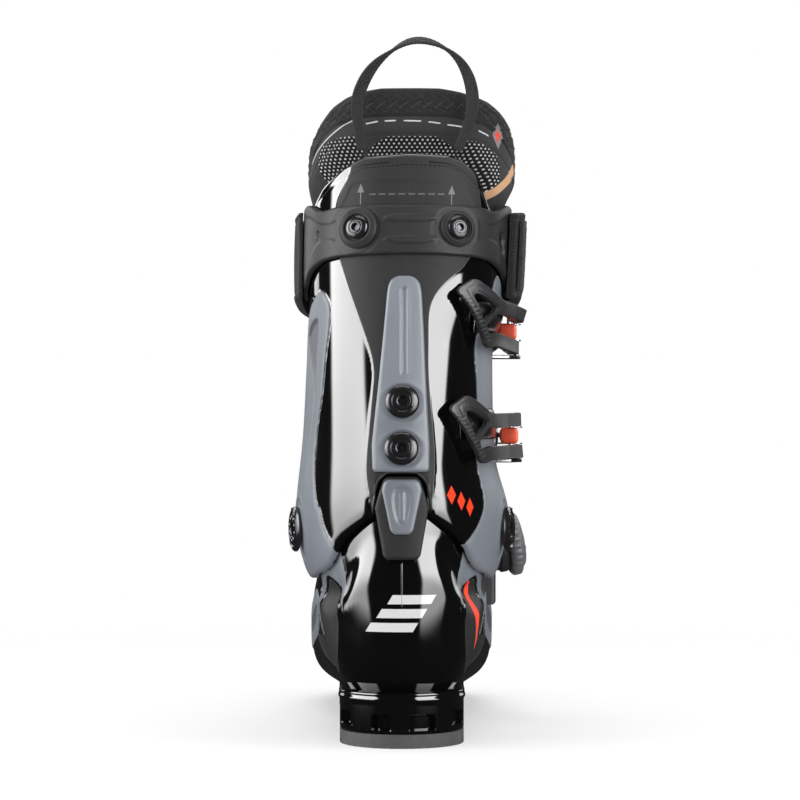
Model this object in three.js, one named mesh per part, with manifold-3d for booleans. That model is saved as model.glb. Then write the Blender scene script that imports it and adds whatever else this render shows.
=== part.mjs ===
// A right-foot alpine ski boot: overlap lower shell with a dial closure, hinged cuff with two
// micro-adjustable buckles, removable liner, power strap and walkable sole pads.
// Millimetres, +Z up, +Y towards the toe, +X to the outer (lateral) side of the foot. Everything is
// drawn about the mid-sole mark, on the plane the soles stand on; the finished group is then moved so
// that its origin is the middle of the heel pad's underside.
import * as THREE from 'three';
import { mergeVertices } from 'three/addons/utils/BufferGeometryUtils.js';
import Module from 'manifold-3d';

const wasm = await Module();
wasm.setup();

// ---------------------------------------------------------------- driving dimensions
const SOLE_LENGTH = 305;
const SOLE_HALF_WIDTH = 34.5;
const HEEL_END = -SOLE_LENGTH / 2;
const TOE_END = SOLE_LENGTH / 2;
const ORIGIN_TO_MID_SOLE = 107; // from the middle of the heel pad's underside to the mid-sole mark
const HEEL_LEDGE = 30; // height of the ledge the binding's heel piece grips
const TOE_LEDGE = 19;
const HEEL_PAD = 7.6; // thickness of the walking pads
const TOE_PAD = 8.4;
const SHELL_WALL = 4;
const CUFF_WALL = 4.5;
const CUFF_GAP = 1.7; // running gap between cuff and lower shell
const LINER_GAP = 2.2;
const LINER_WALL = 9;
const FLAP_STEP = 5.2; // how far the outer cuff flap stands over the inner one
const FIT = 0.35; // gap between touching pieces
const RUNNING = 0.09; // radial clearance of a pin that turns in its hole
const PIVOT_Y = -72;
const PIVOT_Z = 116;
const PIVOT_SHANK = 6;
const DIAL = { centre: [68.5, 20, 105], normal: [0.972, 0.13, 0.19], radius: 20.5, depth: 11 };
// Each buckle: height, the lever's hinge, its cross pin, how far round its tip reaches, how much the
// lever climbs towards the rear, and how far the bail drops towards the front.
const UPPER = { z: 229.5, pivot: [67, -40], cross: [62.4, -53], tipX: 32.5, climb: 0.09, frontDrop: 18 };
const LOWER = { z: 169.5, pivot: [67.5, -47], cross: [63, -60], tipX: 25.5, climb: 0, frontDrop: 2 };
const CANTING_TILT = 14; // degrees the canting discs' faces lean to the rear

// ---------------------------------------------------------------- small maths
const vec = (x, y, z) => new THREE.Vector3(x, y, z);
const radians = (degrees) => (degrees * Math.PI) / 180;
const signedPower = (x, p) => Math.sign(x) * Math.abs(x) ** p;
function range(from, to, steps) {
  return Array.from({ length: steps + 1 }, (_, i) => from + ((to - from) * i) / steps);
}
const flat = (value) => () => value;

function smoothstep(low, high, x) {
  const t = Math.min(1, Math.max(0, (x - low) / (high - low)));
  return t * t * (3 - 2 * t);
}

// Natural cubic spline through rows of [t, a, b, ...]; straight beyond its ends.
function spline(rows) {
  const n = rows.length - 1;
  const t = rows.map((r) => r[0]);
  const columns = rows[0].slice(1).map((_, k) => {
    const y = rows.map((r) => r[k + 1]);
    const bend = new Array(n + 1).fill(0);
    const upper = new Array(n + 1).fill(0);
    const right = new Array(n + 1).fill(0);
    for (let i = 1; i < n; i += 1) {
      const before = t[i] - t[i - 1];
      const after = t[i + 1] - t[i];
      const pivot = 2 * (before + after) - before * upper[i - 1];
      upper[i] = after / pivot;
      const jump = 6 * ((y[i + 1] - y[i]) / after - (y[i] - y[i - 1]) / before);
      right[i] = (jump - before * right[i - 1]) / pivot;
    }
    for (let i = n - 1; i > 0; i -= 1) bend[i] = right[i] - upper[i] * bend[i + 1];
    return { y, bend };
  });
  return (x) => {
    let i = 0;
    while (i < n - 1 && x > t[i + 1]) i += 1;
    const h = t[i + 1] - t[i];
    const a = (t[i + 1] - x) / h;
    const b = (x - t[i]) / h;
    return columns.map(({ y, bend }) => {
      if (x < t[0] || x > t[n]) {
        const slope = (y[i + 1] - y[i]) / h;
        const end = x < t[0] ? 0 : n;
        const turn = x < t[0] ? -(2 * bend[i] + bend[i + 1]) : bend[i] + 2 * bend[i + 1];
        return y[end] + (slope + (turn * h) / 6) * (x - t[end]);
      }
      return a * y[i] + b * y[i + 1] + (((a ** 3 - a) * bend[i] + (b ** 3 - b) * bend[i + 1]) * h * h) / 6;
    });
  };
}

// Straight lines through rows of [t, value].
function polyline(rows) {
  return (x) => {
    let i = 0;
    while (i < rows.length - 2 && x > rows[i + 1][0]) i += 1;
    const [t0, v0] = rows[i];
    const [t1, v1] = rows[i + 1];
    const s = Math.min(1, Math.max(0, (x - t0) / (t1 - t0)));
    return v0 + (v1 - v0) * s;
  };
}

// ---------------------------------------------------------------- meshes and solids
function geometryOf(points, faces) {
  const g = new THREE.BufferGeometry();
  g.setAttribute('position', new THREE.Float32BufferAttribute(points.flatMap((p) => [p.x, p.y, p.z]), 3));
  g.setIndex(faces.flat());
  return g;
}

function solidOf(geometry) {
  const g = geometry.clone();
  g.deleteAttribute('normal');
  g.deleteAttribute('uv');
  const merged = mergeVertices(g, 1e-4);
  const triVerts = new Uint32Array(merged.index.array);
  const vertProperties = new Float32Array(merged.attributes.position.array);
  const made = new wasm.Manifold(new wasm.Mesh({ numProp: 3, vertProperties, triVerts }));
  if (made.volume() >= 0) return made;
  for (let i = 0; i < triVerts.length; i += 3) {
    [triVerts[i + 1], triVerts[i + 2]] = [triVerts[i + 2], triVerts[i + 1]];
  }
  return new wasm.Manifold(new wasm.Mesh({ numProp: 3, vertProperties, triVerts }));
}

function geometryFrom(solid) {
  const mesh = solid.getMesh();
  const g = new THREE.BufferGeometry();
  const xyz = new Float32Array(mesh.numVert * 3);
  for (let i = 0; i < mesh.numVert; i += 1) {
    const from = i * mesh.numProp;
    xyz.set(mesh.vertProperties.subarray(from, from + 3), i * 3);
  }
  g.setAttribute('position', new THREE.BufferAttribute(xyz, 3));
  g.setIndex(new THREE.BufferAttribute(new Uint32Array(mesh.triVerts), 1));
  g.computeVertexNormals();
  return g;
}

const join = (...solids) => solids.reduce((a, b) => a.add(b));
const cut = (solid, ...tools) => tools.reduce((a, b) => a.subtract(b), solid);

// A closed solid between two grids of points, point(i, j) each, stitched along its four borders.
function sheetBetween(outer, inner, ni, nj) {
  const points = [];
  const index = [[], []];
  [outer, inner].forEach((point, side) => {
    for (let i = 0; i <= ni; i += 1) {
      for (let j = 0; j <= nj; j += 1) {
        index[side].push(points.length);
        points.push(point(i, j));
      }
    }
  });
  const at = (side, i, j) => index[side][i * (nj + 1) + j];
  const faces = [];
  const quad = (a, b, c, d) => faces.push([a, b, c], [a, c, d]);
  for (let i = 0; i < ni; i += 1) {
    for (let j = 0; j < nj; j += 1) {
      quad(at(0, i, j), at(0, i + 1, j), at(0, i + 1, j + 1), at(0, i, j + 1));
      quad(at(1, i, j + 1), at(1, i + 1, j + 1), at(1, i + 1, j), at(1, i, j));
    }
    quad(at(0, i + 1, 0), at(0, i, 0), at(1, i, 0), at(1, i + 1, 0));
    quad(at(0, i, nj), at(0, i + 1, nj), at(1, i + 1, nj), at(1, i, nj));
  }
  for (let j = 0; j < nj; j += 1) {
    quad(at(0, 0, j), at(0, 0, j + 1), at(1, 0, j + 1), at(1, 0, j));
    quad(at(0, ni, j + 1), at(0, ni, j), at(1, ni, j), at(1, ni, j + 1));
  }
  return solidOf(geometryOf(points, faces));
}

// A closed solid through rings of equal size, capped by a fan at each end.
function loft(rings) {
  const points = rings.flat();
  const n = rings[0].length;
  const faces = [];
  for (let k = 0; k < rings.length - 1; k += 1) {
    for (let i = 0; i < n; i += 1) {
      const a = k * n + i;
      const b = k * n + ((i + 1) % n);
      faces.push([a, b, b + n], [a, b + n, a + n]);
    }
  }
  [0, rings.length - 1].forEach((k, end) => {
    const centre = points.length;
    points.push(rings[k].reduce((sum, p) => sum.add(p), vec(0, 0, 0)).divideScalar(n));
    for (let i = 0; i < n; i += 1) {
      const a = k * n + i;
      const b = k * n + ((i + 1) % n);
      faces.push(end ? [centre, a, b] : [centre, b, a]);
    }
  });
  return solidOf(geometryOf(points, faces));
}

// A round bar along a polyline, open-ended or closed on itself.
function tube(path, radius, sides, closed = false) {
  const curve = new THREE.CatmullRomCurve3(path, closed, 'centripetal');
  const steps = Math.round(path.length * 1.5);
  const frames = curve.computeFrenetFrames(steps, closed);
  const ring = (k) => {
    const centre = curve.getPointAt(k / steps);
    return Array.from({ length: sides }, (_, i) => {
      const angle = (2 * Math.PI * i) / sides;
      return centre
        .clone()
        .addScaledVector(frames.normals[k], radius * Math.cos(angle))
        .addScaledVector(frames.binormals[k], radius * Math.sin(angle));
    });
  };
  if (!closed) return loft(Array.from({ length: steps + 1 }, (_, k) => ring(k)));
  const rings = Array.from({ length: steps }, (_, k) => ring(k));
  const faces = [];
  for (let k = 0; k < steps; k += 1) {
    for (let i = 0; i < sides; i += 1) {
      const a = k * sides + i;
      const b = k * sides + ((i + 1) % sides);
      const c = ((k + 1) % steps) * sides + ((i + 1) % sides);
      const d = ((k + 1) % steps) * sides + i;
      faces.push([a, b, c], [a, c, d]);
    }
  }
  return solidOf(geometryOf(rings.flat(), faces));
}

// A turned solid from a profile of [radius, height] pairs, standing along `axis` from `origin`.
function turned(profile, origin, axis, sides = 16) {
  const g = new THREE.LatheGeometry(profile.map(([r, h]) => new THREE.Vector2(r, h)), sides);
  const turn = new THREE.Quaternion().setFromUnitVectors(vec(0, 1, 0), axis.clone().normalize());
  g.applyQuaternion(turn);
  g.translate(origin.x, origin.y, origin.z);
  return solidOf(g);
}

function rod(radius, from, to, sides = 16) {
  const axis = to.clone().sub(from);
  const length = axis.length();
  return turned([[0, 0], [radius, 0], [radius, length], [0, length]], from, axis, sides);
}

// The corner radius of a many-sided hole whose flats clear a turning pin.
const boreFor = (pin, sides = 16) => (pin + RUNNING) / Math.cos(Math.PI / sides);

function block(low, high) {
  const size = high.map((h, k) => h - low[k]);
  const g = new THREE.BoxGeometry(...size);
  g.translate(...low.map((l, k) => l + size[k] / 2));
  return solidOf(g);
}

// A flat outline (THREE.Shape in X and Y) raised from z0 to z1.
function slab(shape, z0, z1, curveSegments = 10) {
  const g = new THREE.ExtrudeGeometry(shape, { depth: z1 - z0, bevelEnabled: false, curveSegments });
  g.translate(0, 0, z0);
  return solidOf(g);
}

// ---------------------------------------------------------------- the cuff's outer surface
// Rows: height, rear y, front y, half width, y of the widest place, x of the centre, roundness.
const cuffSection = spline([
  [85, -150, 44, 53, -40, 0, 2.05],
  [95, -149, 41, 56.4, -41, 0, 2.05],
  [105, -148, 37, 58.8, -42, 0, 2.05],
  [116, -146, 32, 60.5, -43, 0, 2.05],
  [130, -143.5, 26, 60.8, -45, 0, 2.08],
  [145, -141, 21, 59.6, -47, 0, 2.1],
  [160, -138, 17.5, 58, -49, 0.2, 2.15],
  [200, -130, 15, 55.8, -53, 0.8, 2.25],
  [230, -124, 20, 55.6, -52, 1.6, 2.32],
  [260, -117.5, 27, 56.8, -46, 2.5, 2.4],
  [290, -111, 35, 57.5, -40, 3.4, 2.45],
  [327, -103, 45, 57.5, -32, 4.2, 2.45],
  [380, -92, 60, 57, -18, 5, 2.45],
]);

// The point at angle psi (0 at the rear, 90 at the outer side, 180 in front), `off` outside it.
function cuffPoint(psi, z, off = 0) {
  const [rear, front, half, mid, centre, power] = cuffSection(z);
  const s = Math.sin(radians(psi));
  const c = Math.cos(radians(psi));
  const reach = c > 0 ? mid - rear : front - mid;
  const r = (Math.abs(s / half) ** power + Math.abs(c / reach) ** power) ** (-1 / power);
  const nx = signedPower((r * s) / half, power - 1) / half;
  const ny = signedPower((-r * c) / reach, power - 1) / reach;
  const k = off / Math.hypot(nx, ny);
  return vec(centre + r * s + k * nx, mid - r * c + k * ny, z);
}

// The point of the rear half at a given x, `off` outside the surface.
function rearPoint(x, z, off = 0) {
  const [rear, , half, mid, centre, power] = cuffSection(z);
  const t = (x - centre) / half;
  const depth = (1 - Math.abs(t) ** power) ** (1 / power);
  const nx = signedPower(t, power - 1) / half;
  const ny = -(depth ** (power - 1)) / (mid - rear);
  const k = off / Math.hypot(nx, ny);
  return vec(x + k * nx, mid - (mid - rear) * depth + k * ny, z);
}

function rearNormal(x, z) {
  const across = rearPoint(x + 1, z).sub(rearPoint(x - 1, z));
  const up = rearPoint(x, z + 1).sub(rearPoint(x, z - 1));
  return across.cross(up).normalize();
}

// A curved plate on that surface: psi and z limits, inner and outer offsets. `rows` is a count,
// or the shares of the height at which the rows of points stand.
function cuffSheet(psis, rows, low, high, inner, outer) {
  const shares = Array.isArray(rows) ? rows : range(0, 1, rows);
  const at = (off) => (i, j) => {
    const psi = psis[i];
    const z = low(psi) + (high(psi) - low(psi)) * shares[j];
    return cuffPoint(psi, z, off(psi));
  };
  return sheetBetween(at(outer), at(inner), psis.length - 1, shares.length - 1);
}

// A plate on the rear of that surface whose sides are given at each height.
function rearPanel(heights, columns, left, right, inner, outer) {
  const at = (off) => (i, j) => {
    const z = heights[i];
    return rearPoint(right(z) + ((left(z) - right(z)) * j) / columns, z, off);
  };
  return sheetBetween(at(outer), at(inner), heights.length - 1, columns);
}


// ---------------------------------------------------------------- the lower shell's surface
// Each section is a rounded oval in a plane that stands up through the toe and fans round the
// instep to the shaft. Rows: station, sole or heel end (y, z), instep end (y, z), half width,
// widest place as a share from the sole end, and the roundness of the two halves.
const shellSection = spline([
  [0, 144, 32, 144, 40, 14, 0.5, 2.2, 2.2],
  [1, 142, 24, 141.5, 52, 29, 0.5, 2.4, 2.2],
  [2, 136, 18.5, 134, 64, 40, 0.48, 3, 2.2],
  [3, 122, 16, 118, 75, 48.5, 0.45, 3.4, 2.2],
  [4, 100, 15, 95, 86, 53.5, 0.45, 3.4, 2.2],
  [5, 70, 15, 66, 101, 55.5, 0.45, 3.2, 2.2],
  [6, 40, 15, 40, 120, 54, 0.45, 3, 2.2],
  [7, 8, 15, 20, 138, 51, 0.48, 2.8, 2.15],
  [8, -28, 15, 9, 151, 49.5, 0.5, 2.6, 2.1],
  [9, -66, 15, 4, 158, 48.5, 0.53, 2.5, 2.1],
  [10, -104, 15, 2, 162, 48.5, 0.56, 2.4, 2.1],
  [11, -130, 17, 1, 164, 48.5, 0.58, 2.3, 2.1],
  [12, -143, 30, 0.5, 166, 49.5, 0.58, 2.25, 2.1],
  [13, -146.5, 55, 0.5, 167.5, 51.5, 0.58, 2.15, 2.1],
  [14, -146, 85, 1, 169, 56, 0.57, 2.1, 2.1],
  [15, -142, 115, 1.5, 170.5, 57, 0.56, 2.1, 2.1],
  [16, -137.5, 135, 2, 172, 57, 0.55, 2.1, 2.1],
  [17, -133, 150, 3, 174, 56, 0.54, 2.1, 2.1],
]);
const SHAFT_END = 17;

// Keeps a point of the lower shell inside the cuff's running gap.
function insideCuff(p, inset) {
  const held = smoothstep(58, 82, p.z) * (1 - smoothstep(-12, 14, p.y));
  if (held <= 0) return p;
  const [rear, front, half, mid, centre, power] = cuffSection(Math.max(p.z, 85));
  const lean = Math.max(0, p.z - 125) * 0.08; // room for the cuff to swing forward
  const gap = CUFF_WALL + CUFF_GAP + lean + inset;
  const dx = p.x - centre;
  const dy = p.y - mid;
  const r = Math.hypot(dx, dy);
  const reach = (dy < 0 ? mid - rear : front - mid) - gap;
  const sideways = Math.abs(dx / r / (half - gap)) ** power;
  const limit = (sideways + Math.abs(dy / r / reach) ** power) ** (-1 / power);
  const scale = Math.min(1, (limit + (1 - held) * 25) / r);
  return vec(centre + dx * scale, mid + dy * scale, p.z);
}

// A point of the lower shell: station v, angle u (0 at the instep, 90 at the outer side).
function shellPoint(v, u, inset = 0) {
  const beyond = Math.max(0, v - SHAFT_END);
  const [y0, z0, y1, z1, a, share, low, high] = shellSection(Math.min(v, SHAFT_END));
  const along = vec(0, y1 - y0, z1 - z0);
  const length = along.length();
  along.normalize();
  const s = Math.sin(radians(u));
  const c = Math.cos(radians(u));
  const power = c > 0 ? high : low;
  const reach = (c > 0 ? 1 - share : share) * length - inset;
  const r = (Math.abs(s / (a - inset)) ** power + Math.abs(c / reach) ** power) ** (-1 / power);
  const up = vec(0, -along.z, along.y).multiplyScalar(beyond * 12);
  const p = vec(r * s, y0, z0).addScaledVector(along, share * length + r * c);
  return insideCuff(p, inset).add(up);
}

function shellLoft(stations, around, inset) {
  return loft(stations.map((v) => range(0, 360, around).slice(0, -1).map((u) => shellPoint(v, u, inset))));
}

const outerStations = [0, 0.4, 1, 1.5, 2, ...range(3, 17, 22)];
const innerStations = (start) => [start, start + 0.4, 2.2, 3, ...range(4, 17, 13), 18.5];

// ---------------------------------------------------------------- sole outlines
function heelOutline(front, grow = 0) {
  const w = SOLE_HALF_WIDTH + grow;
  const shape = new THREE.Shape();
  shape.moveTo(w, front);
  shape.lineTo(-w, front);
  shape.lineTo(-w, HEEL_END + SOLE_HALF_WIDTH);
  shape.absarc(0, HEEL_END + SOLE_HALF_WIDTH, w, Math.PI, 2 * Math.PI, false);
  shape.lineTo(w, front);
  return shape;
}

function toeOutline(back, grow = 0, end = TOE_END) {
  const shape = new THREE.Shape();
  const w = SOLE_HALF_WIDTH + grow;
  const ballHalf = 39 + grow;
  shape.moveTo(-ballHalf + 3, back);
  shape.lineTo(ballHalf - 3, back);
  shape.bezierCurveTo(ballHalf + 2, back + 30, ballHalf, 92, w, 112);
  shape.bezierCurveTo(w, 134, 22, end, 0, end + grow);
  shape.bezierCurveTo(-22, end, -w, 134, -w, 112);
  shape.bezierCurveTo(-ballHalf, 92, -ballHalf - 2, back + 30, -ballHalf + 3, back);
  return shape;
}

// ---------------------------------------------------------------- model
const boot = new THREE.Group();
const materials = {
  gloss: new THREE.MeshStandardMaterial({ color: 0x0c0c0d, roughness: 0.16 }),
  dark: new THREE.MeshStandardMaterial({ color: 0x3a3a3a, roughness: 0.55 }),
  grey: new THREE.MeshStandardMaterial({ color: 0x7d828c, roughness: 0.5 }),
  sole: new THREE.MeshStandardMaterial({ color: 0x5a5a5a, roughness: 0.75 }),
  red: new THREE.MeshStandardMaterial({ color: 0xf04a26, roughness: 0.4 }),
  metal: new THREE.MeshStandardMaterial({ color: 0x2b2b2e, roughness: 0.3, metalness: 0.9 }),
  steel: new THREE.MeshStandardMaterial({ color: 0xb5b7ba, roughness: 0.25, metalness: 1 }),
  fabric: new THREE.MeshStandardMaterial({ color: 0x17171a, roughness: 0.9 }),
  webbing: new THREE.MeshStandardMaterial({ color: 0x1b1b1b, roughness: 0.95 }),
  board: new THREE.MeshStandardMaterial({ color: 0x4a4d52, roughness: 0.8 }),
};

function add(name, solid, material) {
  const mesh = new THREE.Mesh(geometryFrom(solid), materials[material]);
  mesh.name = name;
  boot.add(mesh);
  return mesh;
}

const outward = (psi, z) => cuffPoint(psi, z, 1).sub(cuffPoint(psi, z, 0)).normalize();
const SPINE_BOLTS = [188.4, 162.6];
const STRAP_SCREWS = [-23.2, 30];
const STRAP_SCREW_Z = 285.5;

// ----- lower shell: body, lugs, instep overlap flap
const cavity = shellLoft(innerStations(1.3), 24, SHELL_WALL);
const shellBody = shellLoft(outerStations, 30, 0);
const heelLug = slab(heelOutline(-62), HEEL_PAD + FIT, HEEL_LEDGE, 9);
const toeLug = slab(toeOutline(44), TOE_PAD + FIT, TOE_LEDGE, 6);

function instepFlap() {
  const at = (inset) => (i, j) => shellPoint(2.9 + (4.2 * i) / 9, -46 + (70 * j) / 7, inset);
  return sheetBetween(at(-4.2), at(1.5), 9, 7);
}

function heelWindows() {
  const centre = HEEL_END + SOLE_HALF_WIDTH;
  return [-62, -18, 18, 62].map((angle) => {
    const pocket = block([-5.8, -SOLE_HALF_WIDTH - 4, 11], [5.8, -SOLE_HALF_WIDTH + 5, 18.5]);
    return pocket.rotate([0, 0, angle]).translate([0, centre, 0]);
  });
}

const SOLE_SCREWS = [
  ['toe_screw_inner_front', -17, 122, TOE_PAD],
  ['toe_screw_outer_front', 17, 122, TOE_PAD],
  ['toe_screw_inner_rear', -22, 70, TOE_PAD],
  ['toe_screw_outer_rear', 22, 70, TOE_PAD],
  ['heel_screw_inner', -20, -78, HEEL_PAD],
  ['heel_screw_outer', 20, -78, HEEL_PAD],
  ['heel_screw_rear', 0, -134, HEEL_PAD],
];
const screwShape = (grow) => [
  [0, 2.4 - (grow ? 3 : 0)],
  [4 + grow, 2.4 - (grow ? 3 : 0)],
  [4 + grow, 4.6 + grow],
  [1.9 + grow, 4.6 + grow],
  [1.9 + grow, 13 + grow],
  [0, 13 + grow],
];
const soleScrew = (x, y, grow = 0) => turned(screwShape(grow), vec(x, y, 0), vec(0, 0, 1), 10);
const screwHoles = SOLE_SCREWS.map(([, x, y]) => soleScrew(x, y, FIT));

const pivotHole = rod(boreFor(PIVOT_SHANK), vec(-80, PIVOT_Y, PIVOT_Z), vec(80, PIVOT_Y, PIVOT_Z));
const lowerShell = cut(
  join(shellBody, heelLug, toeLug, instepFlap()),
  cavity,
  ...heelWindows(),
  ...screwHoles,
  pivotHole,
);
add('lower_shell', lowerShell, 'gloss');

// ----- sole pads with tread
function tread(y0, y1, count, reach) {
  return range(y0, y1, count - 1).flatMap((y) => [
    block([reach - 9, y - 1.2, -1], [60, y + 1.2, 2.6]),
    block([-60, y - 1.2, -1], [-reach + 9, y + 1.2, 2.6]),
  ]);
}
const heelTread = tread(-124, -72, 4, SOLE_HALF_WIDTH);
const heelPad = cut(slab(heelOutline(-62), 0, HEEL_PAD, 9), ...heelTread, ...screwHoles);
add('heel_sole_pad', heelPad, 'sole');

// The toe pad's underside curves up at both ends for walking.
function rockerWedge(sign, yFlat, yEnd, rise) {
  const side = new THREE.Shape();
  side.moveTo(yFlat, -1);
  side.lineTo(yEnd + sign * 4, -1);
  side.lineTo(yEnd + sign * 4, rise);
  side.quadraticCurveTo(yFlat + (yEnd - yFlat) * 0.6, rise * 0.15, yFlat, 0);
  const g = new THREE.ExtrudeGeometry(side, { depth: 120, bevelEnabled: false, curveSegments: 5 });
  g.applyMatrix4(new THREE.Matrix4().makeBasis(vec(0, 1, 0), vec(0, 0, 1), vec(1, 0, 0)));
  g.translate(-60, 0, 0);
  return solidOf(g);
}
const toePad = cut(
  slab(toeOutline(44), 0, TOE_PAD, 6),
  rockerWedge(1, 98, TOE_END, 4.6),
  ...tread(56, 92, 4, 39),
  ...screwHoles,
);
add('toe_sole_pad', toePad, 'sole');
for (const [name, x, y] of SOLE_SCREWS) add(name, soleScrew(x, y), 'steel');

// ----- inside the shell: boot board, liner foot, footbed
const slice = (z0, z1) => block([-80, -170, z0], [80, 170, z1]);
const board = shellLoft(innerStations(1.45), 24, SHELL_WALL + 0.7).intersect(slice(19.5, 26.5));
add('boot_board', board, 'board');
const pivotClearance = join(
  rod(8, vec(-80, PIVOT_Y, PIVOT_Z), vec(-41, PIVOT_Y, PIVOT_Z), 16),
  rod(8, vec(41, PIVOT_Y, PIVOT_Z), vec(80, PIVOT_Y, PIVOT_Z), 16),
);
const linerRoom = SHELL_WALL + LINER_GAP;
const linerFoot = cut(
  shellLoft(innerStations(1.62), 24, linerRoom).intersect(
    block([-80, -170, 26.9], [80, 170, 149]),
  ),
  shellLoft(innerStations(2), 16, linerRoom + LINER_WALL).intersect(slice(33.5, 200)),
  pivotClearance,
);
add('liner_foot', linerFoot, 'fabric');
const footbed = shellLoft(innerStations(2.02), 16, linerRoom + LINER_WALL + 0.6).intersect(slice(33.9, 38));
add('footbed', footbed, 'board');

// ----- cuff
const cuffBottom = polyline([
  [0, 149], [6.6, 149], [9.6, 132.5], [26, 112.5], [38, 99], [48, 91], [58, 88],
  [68, 90], [78, 96], [92, 107], [112, 121], [135, 138], [158, 152], [180, 158], [205, 160],
]);
const cuffTop = polyline([
  [0, 329], [22, 327], [32, 321.5], [40, 316], [49, 311], [57, 305], [75, 296],
  [100, 288], [130, 282], [160, 279], [180, 278], [205, 277],
]);
const flapLift = (psi) => FLAP_STEP * smoothstep(-118, -148, psi);
const cuffPsis = [
  ...range(-200, -66, 14), -58, -52, -48, -43, -38, -32, -26, -20, -15, -9.6, -6.6, 0,
  6.6, 9.6, 15, 20, 26, 32, 38, 43, 48, 52, 58, ...range(66, 190, 13),
];
const cuffBlank = cuffSheet(
  cuffPsis, [0, 0.06, 0.14, 0.25, 0.4, 0.55, 0.7, 0.85, 1],
  (psi) => cuffBottom(Math.abs(psi)),
  (psi) => cuffTop(Math.abs(psi)),
  (psi) => flapLift(psi) - CUFF_WALL,
  flapLift,
);
const boltHole = (x, z, radius) => {
  const n = rearNormal(x, z);
  const p = rearPoint(x, z, 0);
  return rod(radius, p.clone().addScaledVector(n, -14), p.clone().addScaledVector(n, 20), 16);
};
const spineBoltX = (z) => (z - 170) * 0.02;
const SPINE_BOLT_SHANK = 4;
const STRAP_SCREW_SHANK = 2.5;
const cuffHoles = [
  ...SPINE_BOLTS.map((z) => boltHole(spineBoltX(z), z, SPINE_BOLT_SHANK + FIT)),
  ...STRAP_SCREWS.map((x) => boltHole(x, STRAP_SCREW_Z, STRAP_SCREW_SHANK + FIT)),
];
add('cuff', cut(cuffBlank, pivotHole, ...cuffHoles), 'gloss');

// ----- cuff pivots: on each side a fixed bolt and nut, and a canting disc that turns in the bolt's head
for (const [side, sign] of [['medial', -1], ['lateral', 1]]) {
  const at = (x) => vec(sign * x, PIVOT_Y, PIVOT_Z);
  const tilt = radians(CANTING_TILT);
  const axis = vec(sign * Math.cos(tilt), -Math.sin(tilt), 0);
  const seat = at(59.9);
  const disc = [[0, 0], [12.8, 0], [12.8, 1.7], [11.2, 3], [0, 3]];
  const along = (h) => seat.clone().addScaledVector(axis, h);
  const stub = rod(3, along(-3), along(1));
  const slot = block([-60, -7, 2], [60, 7, 9]).scale([0.022, 1, 1]);
  const facing = new THREE.Quaternion().setFromUnitVectors(vec(0, 0, 1), axis);
  const turn = new THREE.Euler().setFromQuaternion(facing);
  const degrees = [turn.x, turn.y, turn.z].map((t) => (t * 180) / Math.PI);
  const placed = slot.rotate(degrees).translate(seat.toArray());
  add(`${side}_canting_disc`, cut(join(turned(disc, seat, axis, 20), stub), placed), 'metal');
  const socket = rod(boreFor(3), along(-3 - FIT), along(3));
  add(`${side}_pivot_bolt`, cut(rod(PIVOT_SHANK, at(45.7), at(57.6)), socket), 'metal');
  add(`${side}_pivot_nut`, rod(7.4, at(43.8), at(45.4)), 'steel');
}

// ----- rear spine: plate, bolts, heel plate and tab
const spineLeft = polyline([
  [151, -15.6], [165, -16.2], [202, -12], [250, -7.2], [256, -5.6], [258.5, -3],
]);
const spineRight = polyline([
  [151, 14.4], [165, 14.6], [202, 12.8], [250, 11.6], [256, 10.2], [258.5, 7.6],
]);
const BOLT_HEAD = [[0, 0], [9.3, 0], [9.3, 2], [8.2, 3.3], [3.4, 3.6], [3.4, 1.4], [0, 1.4]];
const NUT_RING = [[4.4, 0], [6.2, 0], [6.2, 1.3], [4.4, 1.3], [4.4, 0]];
const spineHeights = [151, 165, 183, 202, 226, 250, 256, 258.5];
const spinePlate = rearPanel(spineHeights, 4, spineLeft, spineRight, 0.3, 2.7);
add('spine_plate', cut(spinePlate, ...cuffHoles.slice(0, 2)), 'grey');
SPINE_BOLTS.forEach((z, k) => {
  const x = spineBoltX(z);
  const n = rearNormal(x, z);
  const foot = rearPoint(x, z);
  const onBolt = (h) => foot.clone().addScaledVector(n, h);
  const seat = onBolt(3.2);
  const head = turned(BOLT_HEAD, seat, n, 18);
  const shank = rod(SPINE_BOLT_SHANK, onBolt(-6.4), onBolt(4), 16);
  const name = k ? 'lower' : 'upper';
  add(`spine_bolt_${name}`, join(head, shank), 'metal');
  const nut = turned(NUT_RING, onBolt(-6.6), n, 16);
  add(`spine_nut_${name}`, nut, 'steel');
});

const heelPlateSide = polyline([[103, 9.6], [105, 10.6], [130.5, 15.2], [146, 10.4], [147.6, 8.8]]);
const heelPlateHeights = [103, 105, 114, 122, 130.5, 138, 146, 147.6];
const heelPlate = cut(
  rearPanel(heelPlateHeights, 6, (z) => -heelPlateSide(z), heelPlateSide, -6, 0),
  shellLoft(range(13, 17, 8).concat([18.5]), 36, -0.3),
);
add('heel_spine_plate', heelPlate, 'dark');
const tabSide = polyline([[117, 4.6], [118.6, 6.2], [140, 10.8], [145, 9.4], [146.4, 7.6]]);
const heelTab = rearPanel([117, 118.6, 126, 133, 140, 145, 146.4], 4, (z) => -tabSide(z), tabSide, 0.3, 1.7);
add('heel_spine_tab', heelTab, 'grey');

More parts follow.
